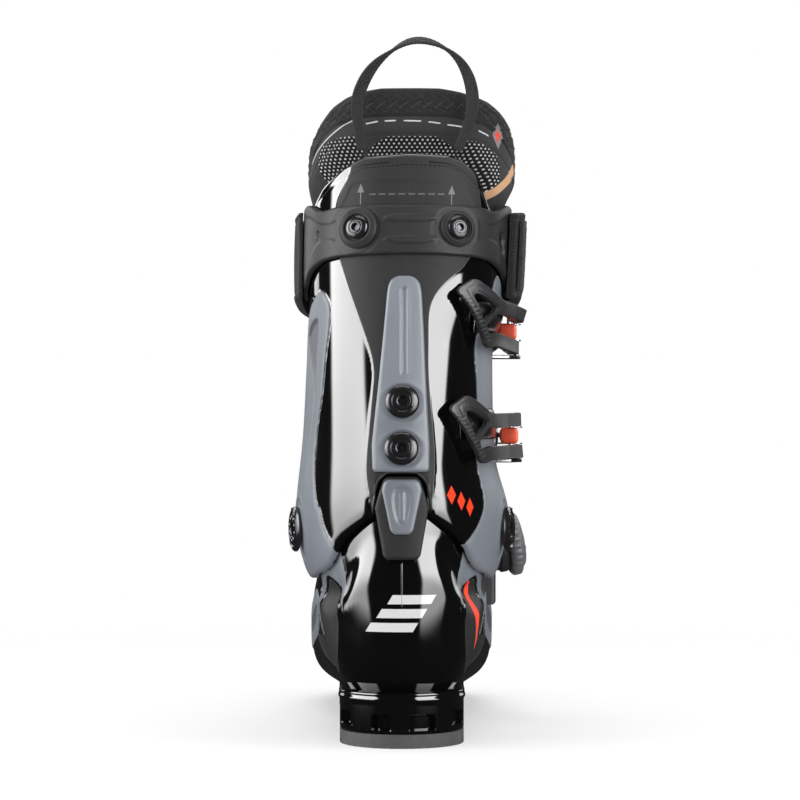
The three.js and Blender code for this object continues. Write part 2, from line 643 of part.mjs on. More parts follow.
// ----- liner shaft, tongue and pull loop
const linerTop = polyline([[0, 366], [30, 361], [45, 352], [60, 343], [80, 334], [110, 330], [150, 334]]);
const linerBottom = polyline([[0, 171], [90, 178], [150, 188]]);
const LINER_INSET = CUFF_WALL + 3;
const linerShaftPsis = range(-148, 148, 24);
function linerShaftSheet(inner, outer) {
  const at = (off) => (i, j) => {
    const psi = linerShaftPsis[i];
    const low = linerBottom(Math.abs(psi));
    const z = low + ((linerTop(Math.abs(psi)) - low) * j) / 8;
    return cuffPoint(psi, z, off(z, Math.abs(psi)));
  };
  return sheetBetween(at(outer), at(inner), linerShaftPsis.length - 1, 8);
}
const collar = (z, psi) => -LINER_INSET + 6 * smoothstep(cuffTop(psi) + 2, cuffTop(psi) + 16, z);
const linerShaft = linerShaftSheet((z, psi) => collar(z, psi) - 11, collar);
add('liner_shaft', linerShaft, 'fabric');

const tongueTop = polyline([[148, 352], [160, 362], [180, 366], [200, 362], [212, 352]]);
const tongue = cuffSheet(
  range(149, 211, 12), 8, flat(192), tongueTop,
  flat(-LINER_INSET - 13), flat(-LINER_INSET - 0.4),
);
add('liner_tongue', tongue, 'fabric');

// Flat webbing bent into an arch over the rear of the liner's collar.
const LOOP_TWIST = 115;
function pullLoop() {
  const legs = [-22.6, 31.7];
  const arch = [
    [legs[0], 331], [-24.6, 345], [-24.8, 360], [-17.5, 377], [-6, 388], [8, 394.5],
    [25, 389.5], [36, 377], [40, 360], [37.5, 345], [legs[1], 331],
  ];
  const rearOf = (z) => cuffPoint(0, z, 0).y - 1.2 + smoothstep(345, 395, z) * 5;
  const path = new THREE.CatmullRomCurve3(arch.map(([x, z]) => vec(x, rearOf(z), z)), false, 'centripetal');
  const steps = 26;
  const rings = range(0, 1, steps).map((t) => {
    const centre = path.getPointAt(t);
    const along = path.getTangentAt(t);
    // The webbing lies flat against the liner at its feet and turns edge-on on its way to the top.
    const turn = radians(LOOP_TWIST) * smoothstep(0.12, 0.5, t < 0.5 ? t : 1 - t);
    const across = vec(0, -1, 0).cross(along).normalize();
    const out = along.clone().cross(across).normalize();
    const wide = across.clone().multiplyScalar(Math.cos(turn)).addScaledVector(out, Math.sin(turn));
    const thick = wide.clone().cross(along).normalize();
    const corner = ([w, h]) => centre.clone().addScaledVector(wide, w).addScaledVector(thick, h);
    return [[-5, -1], [5, -1], [5, 1], [-5, 1]].map(corner);
  });
  return rings;
}
const loopRings = pullLoop();
add('pull_loop', loft(loopRings), 'webbing');

// ----- power strap: moulded yoke, two screws with washers, webbing round the front
const yokeTop = polyline([[0, 299], [30, 299.5], [45, 298], [58, 301], [76, 301], [100, 297]]);
const yokeBottom = polyline([
  [0, 274.5], [30, 274], [43, 273.5], [56, 268], [68, 261], [85, 252], [100, 249],
]);
const yokePsis = [
  -98, -85, -72, -62, -54, -45, -35, -25, -15, -5, 5, 15, 25, 35, 45, 54, 62, 72, 85, 98,
];
const yokeWindow = join(
  ...[[72, 285, 4.2], [78, 278, 4]].map(([psi, z, r]) => {
    const n = outward(psi, z);
    return rod(r, cuffPoint(psi, z, 0.1), cuffPoint(psi, z, 0.1).addScaledVector(n, 10), 12);
  }),
);
const yoke = cuffSheet(
  yokePsis, 3,
  (psi) => yokeBottom(Math.abs(psi)),
  (psi) => yokeTop(Math.abs(psi)),
  flat(0.6),
  flat(3.2),
);
const WASHER_RING = [
  [2.9, 0], [10.2, 0], [10.2, 0.7], [7.4, 1.9], [6.6, 1], [2.9, 1], [2.9, 0],
];
const SCREW_HEAD = [[0, 0], [5.6, 0], [5.4, 1.6], [4, 2.8], [1.8, 3.1], [1.8, 1.2], [0, 1.2]];
add('strap_yoke', cut(yoke, ...cuffHoles.slice(2), yokeWindow), 'dark');
STRAP_SCREWS.forEach((x, k) => {
  const side = k ? 'lateral' : 'medial';
  const n = rearNormal(x, STRAP_SCREW_Z);
  const foot = rearPoint(x, STRAP_SCREW_Z);
  const onScrew = (h) => foot.clone().addScaledVector(n, h);
  const seat = onScrew(3.6);
  const washer = turned(WASHER_RING, seat, n, 18);
  add(`strap_washer_${side}`, washer, 'dark');
  const head = turned(SCREW_HEAD, onScrew(4.9), n, 14);
  const shank = rod(STRAP_SCREW_SHANK, onScrew(-5.6), onScrew(5.4), 12);
  add(`strap_screw_${side}`, join(head, shank), 'metal');
});
const STRAP_WIDTH = 49;
const strapTop = polyline([[60, 297], [80, 299], [110, 293], [140, 285], [180, 279]]);
const strapTopAt = (psi) => strapTop(psi < -180 ? 360 + psi : -psi);
const strapInner = (psi) => 3.9 + 2.2 * smoothstep(-96, -140, psi) - 2.2 * smoothstep(-225, -262, psi);
function strapOuter(psi) {
  const overlap = smoothstep(-236, -252, psi) * (1 - smoothstep(-288, -296, psi) * 0.5);
  return strapInner(psi) + 2.4 + 4.4 * overlap;
}
const strap = cuffSheet(
  range(-72, -298, 30), 3,
  (psi) => strapTopAt(psi) - STRAP_WIDTH,
  strapTopAt,
  strapInner,
  strapOuter,
);
add('power_strap', strap, 'webbing');

// ----- buckles
const LEVER_REACH = 79;
const TRUNNION = 1.95;
const CROSS_PIN = 1.4;
function leverShape(scale, climb) {
  // Along the lever from its hinge and across it, seen from outside.
  const edge = [
    [-4.6, 6.3], [14, 6.3], [45, 6.2], [57.5, 5.4], [66.5, -2.3], [64.5, -8.2], [57, -6], [45, -6.2],
    [14, -6.3], [-4.6, -6.3], [-4.6, -13], [14, -13], [56, -13], [63.5, -15], [66, -13.5], [79, 14.5],
    [78.5, 17], [71.5, 23], [69.5, 22.8], [56, 14], [50, 13], [14, 13], [-4.6, 13],
  ];
  const opening = [[73, 14.2], [69.5, 15], [58.5, 8.4], [60, 6.4], [68.3, -0.6]];
  const place = ([t, z]) => new THREE.Vector2(t * scale, z + climb * Math.max(0, t - 14));
  const outline = new THREE.Shape(edge.map(place));
  outline.holes.push(new THREE.Path(opening.map(place)));
  return outline;
}

function buckle(name, spec) {
  const { z } = spec;
  const pivot = vec(...spec.pivot, z);
  const cross = vec(...spec.cross, z);
  const tip = rearPoint(spec.tipX, z + 16, 6).setZ(z);
  const back = tip.clone().sub(pivot).setZ(0).normalize();
  const out = back.clone().cross(vec(0, 0, -1)).normalize();
  const scale = tip.distanceTo(pivot) / LEVER_REACH;
  const psiOf = (p) => {
    const [, , , mid, centre] = cuffSection(z);
    return (Math.atan2(p.x - centre, -(p.y - mid)) * 180) / Math.PI;
  };
  const pivotPsi = psiOf(pivot);
  const tipPsi = psiOf(tip);

  // The lever: its flat outline pushed through a band that follows the cuff.
  const sense = out.dot(vec(1, 0, 0)) > 0 ? 1 : -1;
  const outline = leverShape(scale, spec.climb);
  const blank = new THREE.ExtrudeGeometry(outline, { depth: 60, bevelEnabled: false });
  const basis = new THREE.Matrix4().makeBasis(back, vec(0, 0, 1), out.clone().multiplyScalar(sense));
  blank.applyMatrix4(basis);
  blank.translate(pivot.x - out.x * 30 * sense, pivot.y - out.y * 30 * sense, z);
  const lowOff = polyline([
    [tipPsi - 12, 4.4], [pivotPsi - 22, 4.6], [pivotPsi - 11, 5.2], [pivotPsi, 7], [pivotPsi + 8, 7],
  ]);
  const highOff = polyline([
    [tipPsi - 12, 8], [pivotPsi - 34, 9.6], [pivotPsi - 12, 13.6], [pivotPsi, 15.6], [pivotPsi + 8, 15.6],
  ]);
  const bandPsis = range(tipPsi - 10, pivotPsi + 7, 10);
  const band = cuffSheet(bandPsis, 1, flat(z - 20), flat(z + 34), lowOff, highOff);
  const above = (p, h) => vec(p.x, p.y, z + h);
  const upright = (p, radius, half, sides = 16) => rod(radius, above(p, -half), above(p, half), sides);
  const lever = cut(
    solidOf(blank).intersect(band),
    upright(pivot, boreFor(TRUNNION), 20),
    upright(cross, boreFor(CROSS_PIN), 20),
  );
  add(`${name}_buckle_lever`, lever, 'metal');
  add(`${name}_buckle_cross_pin`, upright(cross, CROSS_PIN, 12.6), 'steel');

  // The base: a plate on the cuff with two ears that carry the lever's trunnions.
  const platePsis = range(pivotPsi - 17, pivotPsi + 13, 5);
  const plate = cuffSheet(platePsis, 2, flat(z - 11), flat(z + 11), flat(0.4), flat(1.4));
  const foot = cuffPoint(pivotPsi, z, 1);
  const ear = new THREE.Shape();
  ear.moveTo(foot.x, foot.y - 7);
  ear.lineTo(pivot.x + 1, pivot.y - 4.2);
  ear.absarc(pivot.x, pivot.y, 4.2, -Math.PI / 2, Math.PI / 2, false);
  ear.lineTo(foot.x, foot.y + 8);
  const ears = [4.5, -6.2].map((z0) => slab(ear, z + z0, z + z0 + 1.7, 6));
  const trunnion = (from, to) => rod(TRUNNION, above(pivot, from), above(pivot, to), 16);
  const pins = [trunnion(4.5, 13.4), trunnion(-13.4, -4.5)];
  add(`${name}_buckle_base`, join(plate, ...ears, ...pins), 'metal');

  // The barrel that the bail screws into; it swings on the cross pin.
  const nose = vec(cross.x - 1.6, cross.y + 17, z);
  const barrelBox = new THREE.BoxGeometry(5.6, 22, 7.2);
  barrelBox.translate(cross.x - 0.3, cross.y + 6.4, z);
  const barrel = cut(
    solidOf(barrelBox),
    upright(cross, boreFor(CROSS_PIN), 20),
    rod(1.75, vec(nose.x, cross.y + 6, z), vec(nose.x, cross.y + 30, z), 12),
  );
  add(`${name}_buckle_barrel`, barrel, 'red');

  // The bail: a rod out of the barrel that carries a wire loop round the front of the cuff.
  const height = (psi) => z - spec.frontDrop * smoothstep(pivotPsi + 4, 186, psi);
  const stand = (psi) => 5.4 + 6 * smoothstep(118, 165, psi);
  const run = range(118, 187, 6);
  const wireAt = (psi, dz) => {
    const p = cuffPoint(psi, height(psi), stand(psi));
    return vec(p.x, p.y, p.z + dz);
  };
  const half = 6.6;
  const loop = [
    ...run.map((psi) => wireAt(psi, half)),
    wireAt(188, 0),
    ...run.slice().reverse().map((psi) => wireAt(psi, -half)),
    wireAt(114, 0),
  ];
  const threaded = tube([
    vec(nose.x, cross.y + 8, z), vec(nose.x, cross.y + 16, z), vec(nose.x, cross.y + 24, z),
    cuffPoint(108, height(108), 5.2), wireAt(114.5, 0),
  ], 1.4, 8);
  add(`${name}_buckle_bail`, join(tube(loop, 1.25, 6, true), threaded), 'steel');

  // The ladder on the outer flap.
  const teeth = range(-178, -150, 16);
  const tooth = (psi) => FLAP_STEP + 1.1 + (Math.round((psi + 178) / 1.75) % 2 ? 0.6 : 0);
  const ladder = cuffSheet(
    teeth, 2,
    () => height(186) - 4.8,
    () => height(186) + 4.8,
    flat(FLAP_STEP + 0.4),
    tooth,
  );
  add(`${name}_buckle_ladder`, ladder, 'metal');
}
buckle('upper', UPPER);
buckle('lower', LOWER);

// ----- dial closure: housing, hub, knob, lace and guides
const dialAxis = vec(...DIAL.normal).normalize();
const dialCentre = vec(...DIAL.centre);
const onDial = (h) => dialCentre.clone().addScaledVector(dialAxis, h);
const shellSkin = shellLoft(range(4, 10, 24), 60, -0.4);
const housing = turned([[0, -26], [14, -26], [17.4, -9], [17.4, -6.6], [0, -6.6]], dialCentre, dialAxis, 24);
const hubSocket = rod(boreFor(6), onDial(-14), onDial(0));
const mountPlate = block([40, 2, 66], [57, 38, 92]);
add('dial_housing', cut(join(housing, mountPlate), shellSkin, hubSocket), 'dark');
const hub = turned([[0, -6.2], [9, -6.2], [9, 3.2], [0, 3.2]], dialCentre, dialAxis, 24);
add('dial_hub', join(hub, rod(6, onDial(-13.4), onDial(0))), 'dark');
const hubBore = boreFor(9, 24);
const knobProfile = [
  [hubBore, -5.4], [18.6, -5.4], [DIAL.radius, -3.6], [DIAL.radius, 2.6], [16, 5.6], [0, 5.9],
  [0, 3.6], [hubBore, 3.6], [hubBore, -5.4],
];
add('dial_knob', turned(knobProfile, dialCentre, dialAxis, 24), 'grey');

// The lace runs from the housing over the instep between guides, and back to the housing.
const onShell = (v, u, out) => shellPoint(v, u, -out);
const LACE_OUT = 6.8;
const laceStops = [
  [6.5, 52, 6], [6.45, 30, 6.4], [6.3, 0, LACE_OUT], [6.15, -26, LACE_OUT],
  [5.95, -40, LACE_OUT], [5.75, -26, LACE_OUT],
  [5.5, 0, LACE_OUT], [5.35, 24, LACE_OUT], [5.15, 36, LACE_OUT], [4.95, 24, LACE_OUT], [4.75, 0, LACE_OUT],
  [4.5, -28, LACE_OUT], [4.3, -42, LACE_OUT], [4.1, -28, LACE_OUT], [4.15, 0, LACE_OUT],
  [4.4, 34, 6.4], [5.1, 58, 5.6],
  [5.75, 68, 5.6],
];
const lace = tube(laceStops.map(([v, u, out]) => onShell(v, u, out)), 0.8, 6);
const dialRoom = turned([[0, -27], [14.4, -27], [17.9, -9], [17.9, -5], [0, -5]], dialCentre, dialAxis, 24);
add('lace', cut(lace, dialRoom, block([39, 1.6, 65], [58, 38.4, 92.4])), 'steel');
const flapSkin = (() => {
  const at = (inset) => (i, j) => shellPoint(2.8 + (4.4 * i) / 14, -47 + (72 * j) / 10, inset);
  return sheetBetween(at(-4.6), at(1), 14, 10);
})();
// A hooded eyelet: a pad over the shell with a slot, open towards the instep, that turns the lace.
function laceGuide(v, u) {
  const side = Math.sign(u);
  const plate = (halfV, uOpen, uOuter, low, high) => {
    const at = (out) => (i, j) => {
      const across = u + side * (uOpen + ((uOuter - uOpen) * j) / 3);
      return shellPoint(v + halfV * (i / 1.5 - 1), across, -out);
    };
    return sheetBetween(at(high), at(low), 3, 3);
  };
  return cut(plate(0.34, -9, 9, 0, 9.6), plate(0.27, -12, 6.5, 5.5, 8.1), shellSkin, flapSkin);
}
const GUIDES = [['medial_rear', 5.95, -43], ['lateral_mid', 5.15, 39], ['medial_front', 4.3, -45]];
for (const [name, v, u] of GUIDES) {
  add(`lace_guide_${name}`, laceGuide(v, u), 'dark');
}

boot.position.y = ORIGIN_TO_MID_SOLE;

export default boot;
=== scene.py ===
"""A right-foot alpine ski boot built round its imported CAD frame, seen from straight behind.

Sizes are millimetres in the drawing's frame, whose origin is the mid-sole mark on the ground; place()
carries a point to the part's frame, in metres.
"""
import math

import bmesh
import bpy
import numpy as np
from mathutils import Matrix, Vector

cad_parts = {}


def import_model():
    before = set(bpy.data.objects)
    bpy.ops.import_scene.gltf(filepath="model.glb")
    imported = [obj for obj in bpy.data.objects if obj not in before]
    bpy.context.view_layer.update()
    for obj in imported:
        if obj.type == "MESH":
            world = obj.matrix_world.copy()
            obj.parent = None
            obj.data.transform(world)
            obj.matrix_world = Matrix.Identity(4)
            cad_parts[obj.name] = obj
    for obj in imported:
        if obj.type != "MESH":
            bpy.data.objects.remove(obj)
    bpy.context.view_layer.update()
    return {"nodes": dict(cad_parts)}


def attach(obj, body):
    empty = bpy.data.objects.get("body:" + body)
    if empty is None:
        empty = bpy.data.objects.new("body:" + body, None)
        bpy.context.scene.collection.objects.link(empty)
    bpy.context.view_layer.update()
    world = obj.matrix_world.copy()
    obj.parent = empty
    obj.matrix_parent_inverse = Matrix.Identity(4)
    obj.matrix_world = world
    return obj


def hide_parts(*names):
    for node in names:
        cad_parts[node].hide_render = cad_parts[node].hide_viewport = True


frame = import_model()

ORIGIN_TO_MID_SOLE = 107.0
SOLE_HALF_WIDTH = 34.5
HEEL_END, TOE_END = -152.5, 152.5
HEEL_LEDGE, TOE_LEDGE, HEEL_PAD, TOE_PAD = 30.0, 19.0, 7.95, 8.75
SHELL_WALL, CUFF_WALL, CUFF_GAP, LINER_INSET = 4.0, 4.5, 1.7, 7.5
FLAP_STEP = 5.2
FAR, NOWHERE = 9.0, 999.0  # a zone's distance where it has none, and a place that no mark reaches
PIVOT_Y, PIVOT_Z, CANTING_TILT = -72.0, 116.0, 14.0
SPINE_BOLTS, STRAP_SCREWS, STRAP_SCREW_Z = (188.4, 162.6), (-23.2, 30.0), 285.5
DIAL_CENTRE, DIAL_NORMAL = (68.5, 20.0, 105.0), (0.972, 0.13, 0.19)
BLOCK_Y, BLOCK_Z = (3, 36), (67, 91)


# ------------------------------------------------------------------ small maths
def smoothstep(low, high, x):
    t = np.clip((np.asarray(x, float) - low) / (high - low), 0, 1)
    return t * t * (3 - 2 * t)


def fade(low, high, x):
    """Falls from 1 at low to 0 at high."""
    return 1 - smoothstep(low, high, x)


def bell(x, width):
    return np.exp(-((x / width) ** 2))


def polyline(points):
    xs, ys = np.array(points, float).T
    return lambda x: np.interp(x, xs, ys)


def spline(rows):
    """Natural cubic spline through rows of [t, a, b, ...]; straight beyond its ends."""
    rows = np.array(rows, float)
    t, values = rows[:, 0], rows[:, 1:]
    h = np.diff(t)
    n = len(h)
    system = np.eye(n + 1)
    right = np.zeros_like(values)
    for i in range(1, n):
        system[i, i - 1 : i + 2] = h[i - 1], 2 * (h[i - 1] + h[i]), h[i]
        right[i] = 6 * ((values[i + 1] - values[i]) / h[i] - (values[i] - values[i - 1]) / h[i - 1])
    bend = np.linalg.solve(system, right)

    def at(x):
        x = np.asarray(x, float)
        held = np.clip(x, t[0], t[-1])
        i = np.clip(np.searchsorted(t, held, side="right") - 1, 0, n - 1)
        a = ((t[i + 1] - held) / h[i])[..., None]
        b = 1 - a
        wide = h[i][..., None]
        y = a * values[i] + b * values[i + 1]
        y = y + ((a**3 - a) * bend[i] + (b**3 - b) * bend[i + 1]) * wide**2 / 6
        turn = np.where(x[..., None] < t[0], -(2 * bend[i] + bend[i + 1]), bend[i] + 2 * bend[i + 1])
        slope = (values[i + 1] - values[i]) / wide + turn * wide / 6
        return np.moveaxis(y + slope * (x - held)[..., None], -1, 0)

    return at


def rounded(points, passes=3, closed=True):
    """Chaikin's corner cutting."""
    p = np.array(points, float)
    for _ in range(passes):
        q = np.roll(p, -1, 0) if closed else p[1:]
        a = p if closed else p[:-1]
        cut = np.stack([a * 0.75 + q * 0.25, a * 0.25 + q * 0.75], 1).reshape(-1, 2)
        p = cut if closed else np.vstack([p[:1], cut, p[-1:]])
    return p


def distance_to_lines(points, line, closed=False):
    """Distance from each 2-D point to a polyline."""
    points = np.asarray(points, float)
    line = np.asarray(line, float)
    ends = np.roll(line, -1, 0) if closed else line[1:]
    starts = line if closed else line[:-1]
    best = np.full(len(points), 1e9)
    for a, b in zip(starts, ends):
        d = b - a
        t = np.clip(((points - a) @ d) / max(d @ d, 1e-12), 0, 1)
        best = np.minimum(best, np.hypot(*(points - a - t[:, None] * d).T))
    return best


def signed_distance(points, outline):
    """Negative inside a closed 2-D outline."""
    points, outline = np.asarray(points, float), np.asarray(outline, float)
    inside = np.zeros(len(points), bool)
    for (x0, y0), (x1, y1) in zip(outline, np.roll(outline, -1, 0)):
        crosses = (y0 > points[:, 1]) != (y1 > points[:, 1])
        if y0 != y1:
            inside ^= crosses & (points[:, 0] < (x1 - x0) * (points[:, 1] - y0) / (y1 - y0) + x0)
    return distance_to_lines(points, outline, True) * np.where(inside, -1, 1)


def between(table, i, j, ease=lambda t: t):
    """Looks a table up between its entries, at rows i and columns j."""
    i = np.clip(i, 0, table.shape[0] - 1.001)
    j = np.clip(j, 0, table.shape[1] - 1.001)
    i0, j0 = i.astype(int), j.astype(int)
    u, v = ease(i - i0), ease(j - j0)
    if table.ndim == 3:
        u, v = u[..., None], v[..., None]
    low = table[i0, j0] * (1 - v) + table[i0, j0 + 1] * v
    high = table[i0 + 1, j0] * (1 - v) + table[i0 + 1, j0 + 1] * v
    return low * (1 - u) + high * u


def run_along(points):
    """Length along a line of points, from its start."""
    return np.concatenate([[0], np.cumsum(np.linalg.norm(np.diff(points, axis=0), axis=1))])


def unit(v):
    v = np.asarray(v, float)
    return v / np.linalg.norm(v, axis=-1, keepdims=True)


# ------------------------------------------------------------------ the cuff's outer surface
cuff_section = spline([
    [85, -150, 44, 53, -40, 0, 2.05],
    [95, -149, 41, 56.4, -41, 0, 2.05],
    [105, -148, 37, 58.8, -42, 0, 2.05],
    [116, -146, 32, 60.5, -43, 0, 2.05],
    [130, -143.5, 26, 60.8, -45, 0, 2.08],
    [145, -141, 21, 59.6, -47, 0, 2.1],
    [160, -138, 17.5, 58, -49, 0.2, 2.15],
    [200, -130, 15, 55.8, -53, 0.8, 2.25],
    [230, -124, 20, 55.6, -52, 1.6, 2.32],
    [260, -117.5, 27, 56.8, -46, 2.5, 2.4],
    [290, -111, 35, 57.5, -40, 3.4, 2.45],
    [327, -103, 45, 57.5, -32, 4.2, 2.45],
    [380, -92, 60, 57, -18, 5, 2.45],
])


def slimming(z):
    """How much narrower the cuff's outer side is between the pivot and the strap."""
    return 4.6 * smoothstep(126, 158, z) * fade(222, 250, z)


def cuff_point(psi, z, off=0.0):
    """Angle psi (0 at the rear, 90 at the outer side, 180 in front), `off` outside the surface."""
    psi, z, off = np.broadcast_arrays(np.asarray(psi, float), np.asarray(z, float), np.asarray(off, float))
    rear, front, half, mid, centre, power = cuff_section(z)
    s, c = np.sin(np.radians(psi)), np.cos(np.radians(psi))
    half = np.where(s > 0, half - slimming(z), half)
    reach = np.where(c > 0, mid - rear, front - mid)
    r = (np.abs(s / half) ** power + np.abs(c / reach) ** power) ** (-1 / power)
    nx = np.sign(s) * np.abs(r * s / half) ** (power - 1) / half
    ny = -np.sign(c) * np.abs(r * c / reach) ** (power - 1) / reach
    k = off / np.hypot(nx, ny)
    return np.stack([centre + r * s + k * nx, mid - r * c + k * ny, z], -1)


def rear_point(x, z, off=0.0):
    """The point of the rear half at a given x."""
    x, z, off = np.broadcast_arrays(np.asarray(x, float), np.asarray(z, float), np.asarray(off, float))
    rear, _, half, mid, centre, power = cuff_section(z)
    half = np.where(x > centre, half - slimming(z), half)
    t = (x - centre) / half
    depth = (1 - np.abs(t) ** power) ** (1 / power)
    nx = np.sign(t) * np.abs(t) ** (power - 1) / half
    ny = -(depth ** (power - 1)) / (mid - rear)
    k = off / np.hypot(nx, ny)
    return np.stack([x + k * nx, mid - (mid - rear) * depth + k * ny, z], -1)


def rear_normal(x, z):
    across = rear_point(x + 1, z) - rear_point(x - 1, z)
    up = rear_point(x, z + 1) - rear_point(x, z - 1)
    return unit(np.cross(across, up))


ARC_TURN, ARC_STEP = 210, 4
ARC_PSI = np.arange(-ARC_TURN, ARC_TURN + 0.1, 1.0)
ARC_Z = np.arange(84.0, 386.0, ARC_STEP)


def arc_table():
    points = cuff_point(ARC_PSI[None], ARC_Z[:, None])
    steps = np.linalg.norm(np.diff(points, axis=1), axis=2)
    run = np.concatenate([np.zeros((len(ARC_Z), 1)), np.cumsum(steps, 1)], 1)
    return run - run[:, [ARC_TURN]]


ARC = arc_table()


def arc_of(psi, z):
    """Length round the cuff from its rear middle."""
    psi, z = np.broadcast_arrays(psi, z)
    return between(ARC, (z - ARC_Z[0]) / ARC_STEP, psi + ARC_TURN)


# ------------------------------------------------------------------ the lower shell's surface
shell_section = spline([
    [0, 144, 32, 144, 40, 14, 0.5, 2.2, 2.2],
    [1, 142, 24, 141.5, 52, 29, 0.5, 2.4, 2.2],
    [2, 136, 18.5, 134, 64, 40, 0.48, 3, 2.2],
    [3, 122, 16, 118, 75, 48.5, 0.45, 3.6, 2.2],
    [4, 100, 15, 95, 86, 53.5, 0.45, 3.9, 2.2],
    [5, 70, 15, 66, 101, 55.5, 0.45, 4.2, 2.2],
    [6, 40, 15, 40, 120, 54, 0.45, 4.2, 2.2],
    [7, 8, 15, 20, 138, 51, 0.48, 3.9, 2.15],
    [8, -28, 15, 9, 151, 49.5, 0.5, 3.2, 2.1],
    [9, -66, 15, 4, 158, 48.5, 0.53, 2.5, 2.1],
    [10, -104, 15, 2, 162, 48.5, 0.56, 2.4, 2.1],
    [11, -130, 17, 1, 164, 48.5, 0.58, 2.3, 2.1],
    [12, -143, 30, 0.5, 166, 49.5, 0.58, 2.25, 2.1],
    [13, -146.5, 55, 0.5, 167.5, 51.5, 0.58, 2.15, 2.1],
    [14, -146, 85, 1, 169, 56, 0.57, 2.1, 2.1],
    [15, -142, 115, 1.5, 170.5, 57, 0.56, 2.1, 2.1],
    [16, -137.5, 135, 2, 172, 57, 0.55, 2.1, 2.1],
    [17, -133, 150, 3, 174, 56, 0.54, 2.1, 2.1],
])
SHAFT_END = 17.0


def inside_cuff(p, inset):
    """Keeps points of the lower shell inside the cuff's running gap."""
    x, y, z = np.moveaxis(p, -1, 0)
    rear_face = fade(-132, -98, y) * fade(18, 44, np.abs(x))
    held = smoothstep(0, 1, (z - 58 - 6 * rear_face) / (24 + 28 * rear_face)) * fade(-12, 14, y)
    rear, front, half, mid, centre, power = cuff_section(np.maximum(z, 85))
    gap = CUFF_WALL + CUFF_GAP + np.maximum(0, z - 125) * 0.08 + inset
    half = np.where(x > centre, half - slimming(z), half)
    dx, dy = x - centre, y - mid
    r = np.maximum(np.hypot(dx, dy), 1e-6)
    reach = np.where(dy < 0, mid - rear, front - mid) - gap
    limit = (np.abs(dx / r / (half - gap)) ** power + np.abs(dy / r / reach) ** power) ** (-1 / power)
    room = limit + (1 - held) * 25
    mix = np.clip(0.5 + (room - r) / 16, 0, 1)
    scale = np.where(held > 0, (room * (1 - mix) + r * mix - 8 * mix * (1 - mix)) / r, 1)
    x = np.where(held > 0, centre + dx * scale, x)
    y = np.where(held > 0, mid + dy * scale, y)
    return np.stack([x, y, z], -1)


def shell_point(v, u, inset=0.0):
    """Station v from toe to shaft, angle u (0 at the instep, 90 at the outer side)."""
    v, u, inset = np.broadcast_arrays(np.asarray(v, float), np.asarray(u, float), np.asarray(inset, float))
    y0, z0, y1, z1, a, share, low, high = shell_section(np.minimum(v, SHAFT_END))
    dy, dz = y1 - y0, z1 - z0
    length = np.hypot(dy, dz)
    dy, dz = dy / length, dz / length
    s, c = np.sin(np.radians(u)), np.cos(np.radians(u))
    power = np.where(c > 0, high, low)
    reach = np.where(c > 0, 1 - share, share) * length - inset
    r = (np.abs(s / (a - inset)) ** power + np.abs(c / reach) ** power) ** (-1 / power)
    along = share * length + r * c
    p = inside_cuff(np.stack([r * s, y0 + dy * along, z0 + dz * along], -1), inset)
    beyond = np.maximum(0, v - SHAFT_END) * 12
    return p + np.stack([0 * beyond, -dz * beyond, dy * beyond], -1)


# ------------------------------------------------------------------ meshes
def place(points):
    p = np.array(points, float).reshape(-1, 3)
    p[:, 1] += ORIGIN_TO_MID_SOLE
    return p / 1000


def piece(name, shape, material, body, crease, attributes=None, extra=False):
    """Adds one visible piece from (points, faces) in drawing millimetres, in place of the CAD node `name`."""
    shown = name if extra else name.replace("_buckle", "").replace("heel_spine", "heel") + "_skin"
    mesh = bpy.data.meshes.new(shown)
    mesh.from_pydata(place(shape[0]), [], [tuple(map(int, f)) for f in shape[1]])
    for key, values in (attributes or {}).items():
        values = np.asarray(values, float)
        kind, field = ("FLOAT_VECTOR", "vector") if values.ndim == 2 else ("FLOAT", "value")
        mesh.attributes.new(key, kind, "POINT").data.foreach_set(field, values.ravel())
    build = bmesh.new()
    build.from_mesh(mesh)
    bmesh.ops.recalc_face_normals(build, faces=build.faces)
    build.to_mesh(mesh)
    build.free()
    mesh.shade_smooth()
    mesh.set_sharp_from_angle(angle=math.radians(crease))
    obj = bpy.data.objects.new(shown, mesh)
    bpy.context.scene.collection.objects.link(obj)
    obj.data.materials.append(material)
    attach(obj, body)
    if not extra:
        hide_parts(name)


def add_bevel(obj, width):
    bevel = obj.modifiers.new("edges", "BEVEL")
    bevel.width = width / 1000
    bevel.segments = 2
    bevel.limit_method = "ANGLE"
    bevel.angle_limit = math.radians(35)


def grid_faces(ni, nj, start=0, flip=False, wrap=False):
    i, j = np.meshgrid(np.arange(ni if wrap else ni - 1), np.arange(nj - 1), indexing="ij")
    a = i * nj + j
    b = ((i + 1) % ni) * nj + j
    quads = np.stack([a, b, b + 1, a + 1], -1).reshape(-1, 4) + start
    return (quads[:, ::-1] if flip else quads).tolist()


def ring_faces(ni, nj, closed=False):
    """Quads between ni rings of nj points each."""
    i, j = np.meshgrid(np.arange(ni if closed else ni - 1), np.arange(nj), indexing="ij")
    after, beside = (i + 1) % ni * nj, (j + 1) % nj
    return np.stack([i * nj + j, i * nj + beside, after + beside, after + j], -1).reshape(-1, 4)


def pot(outer, inner):
    """A solid between two grids of rings, both closed over their first ring and joined at their last."""
    ni, nj = outer.shape[:2]
    n, last = ni * nj, (ni - 1) * nj
    quads = ring_faces(ni, nj)
    faces = quads.tolist() + (quads[:, ::-1] + n).tolist()
    for k in range(nj):
        a, b = last + k, last + (k + 1) % nj
        faces.append((a, b, n + b, n + a))
    faces += [tuple(range(nj)), tuple(range(n, n + nj))[::-1]]
    return np.vstack([outer.reshape(-1, 3), inner.reshape(-1, 3)]), faces


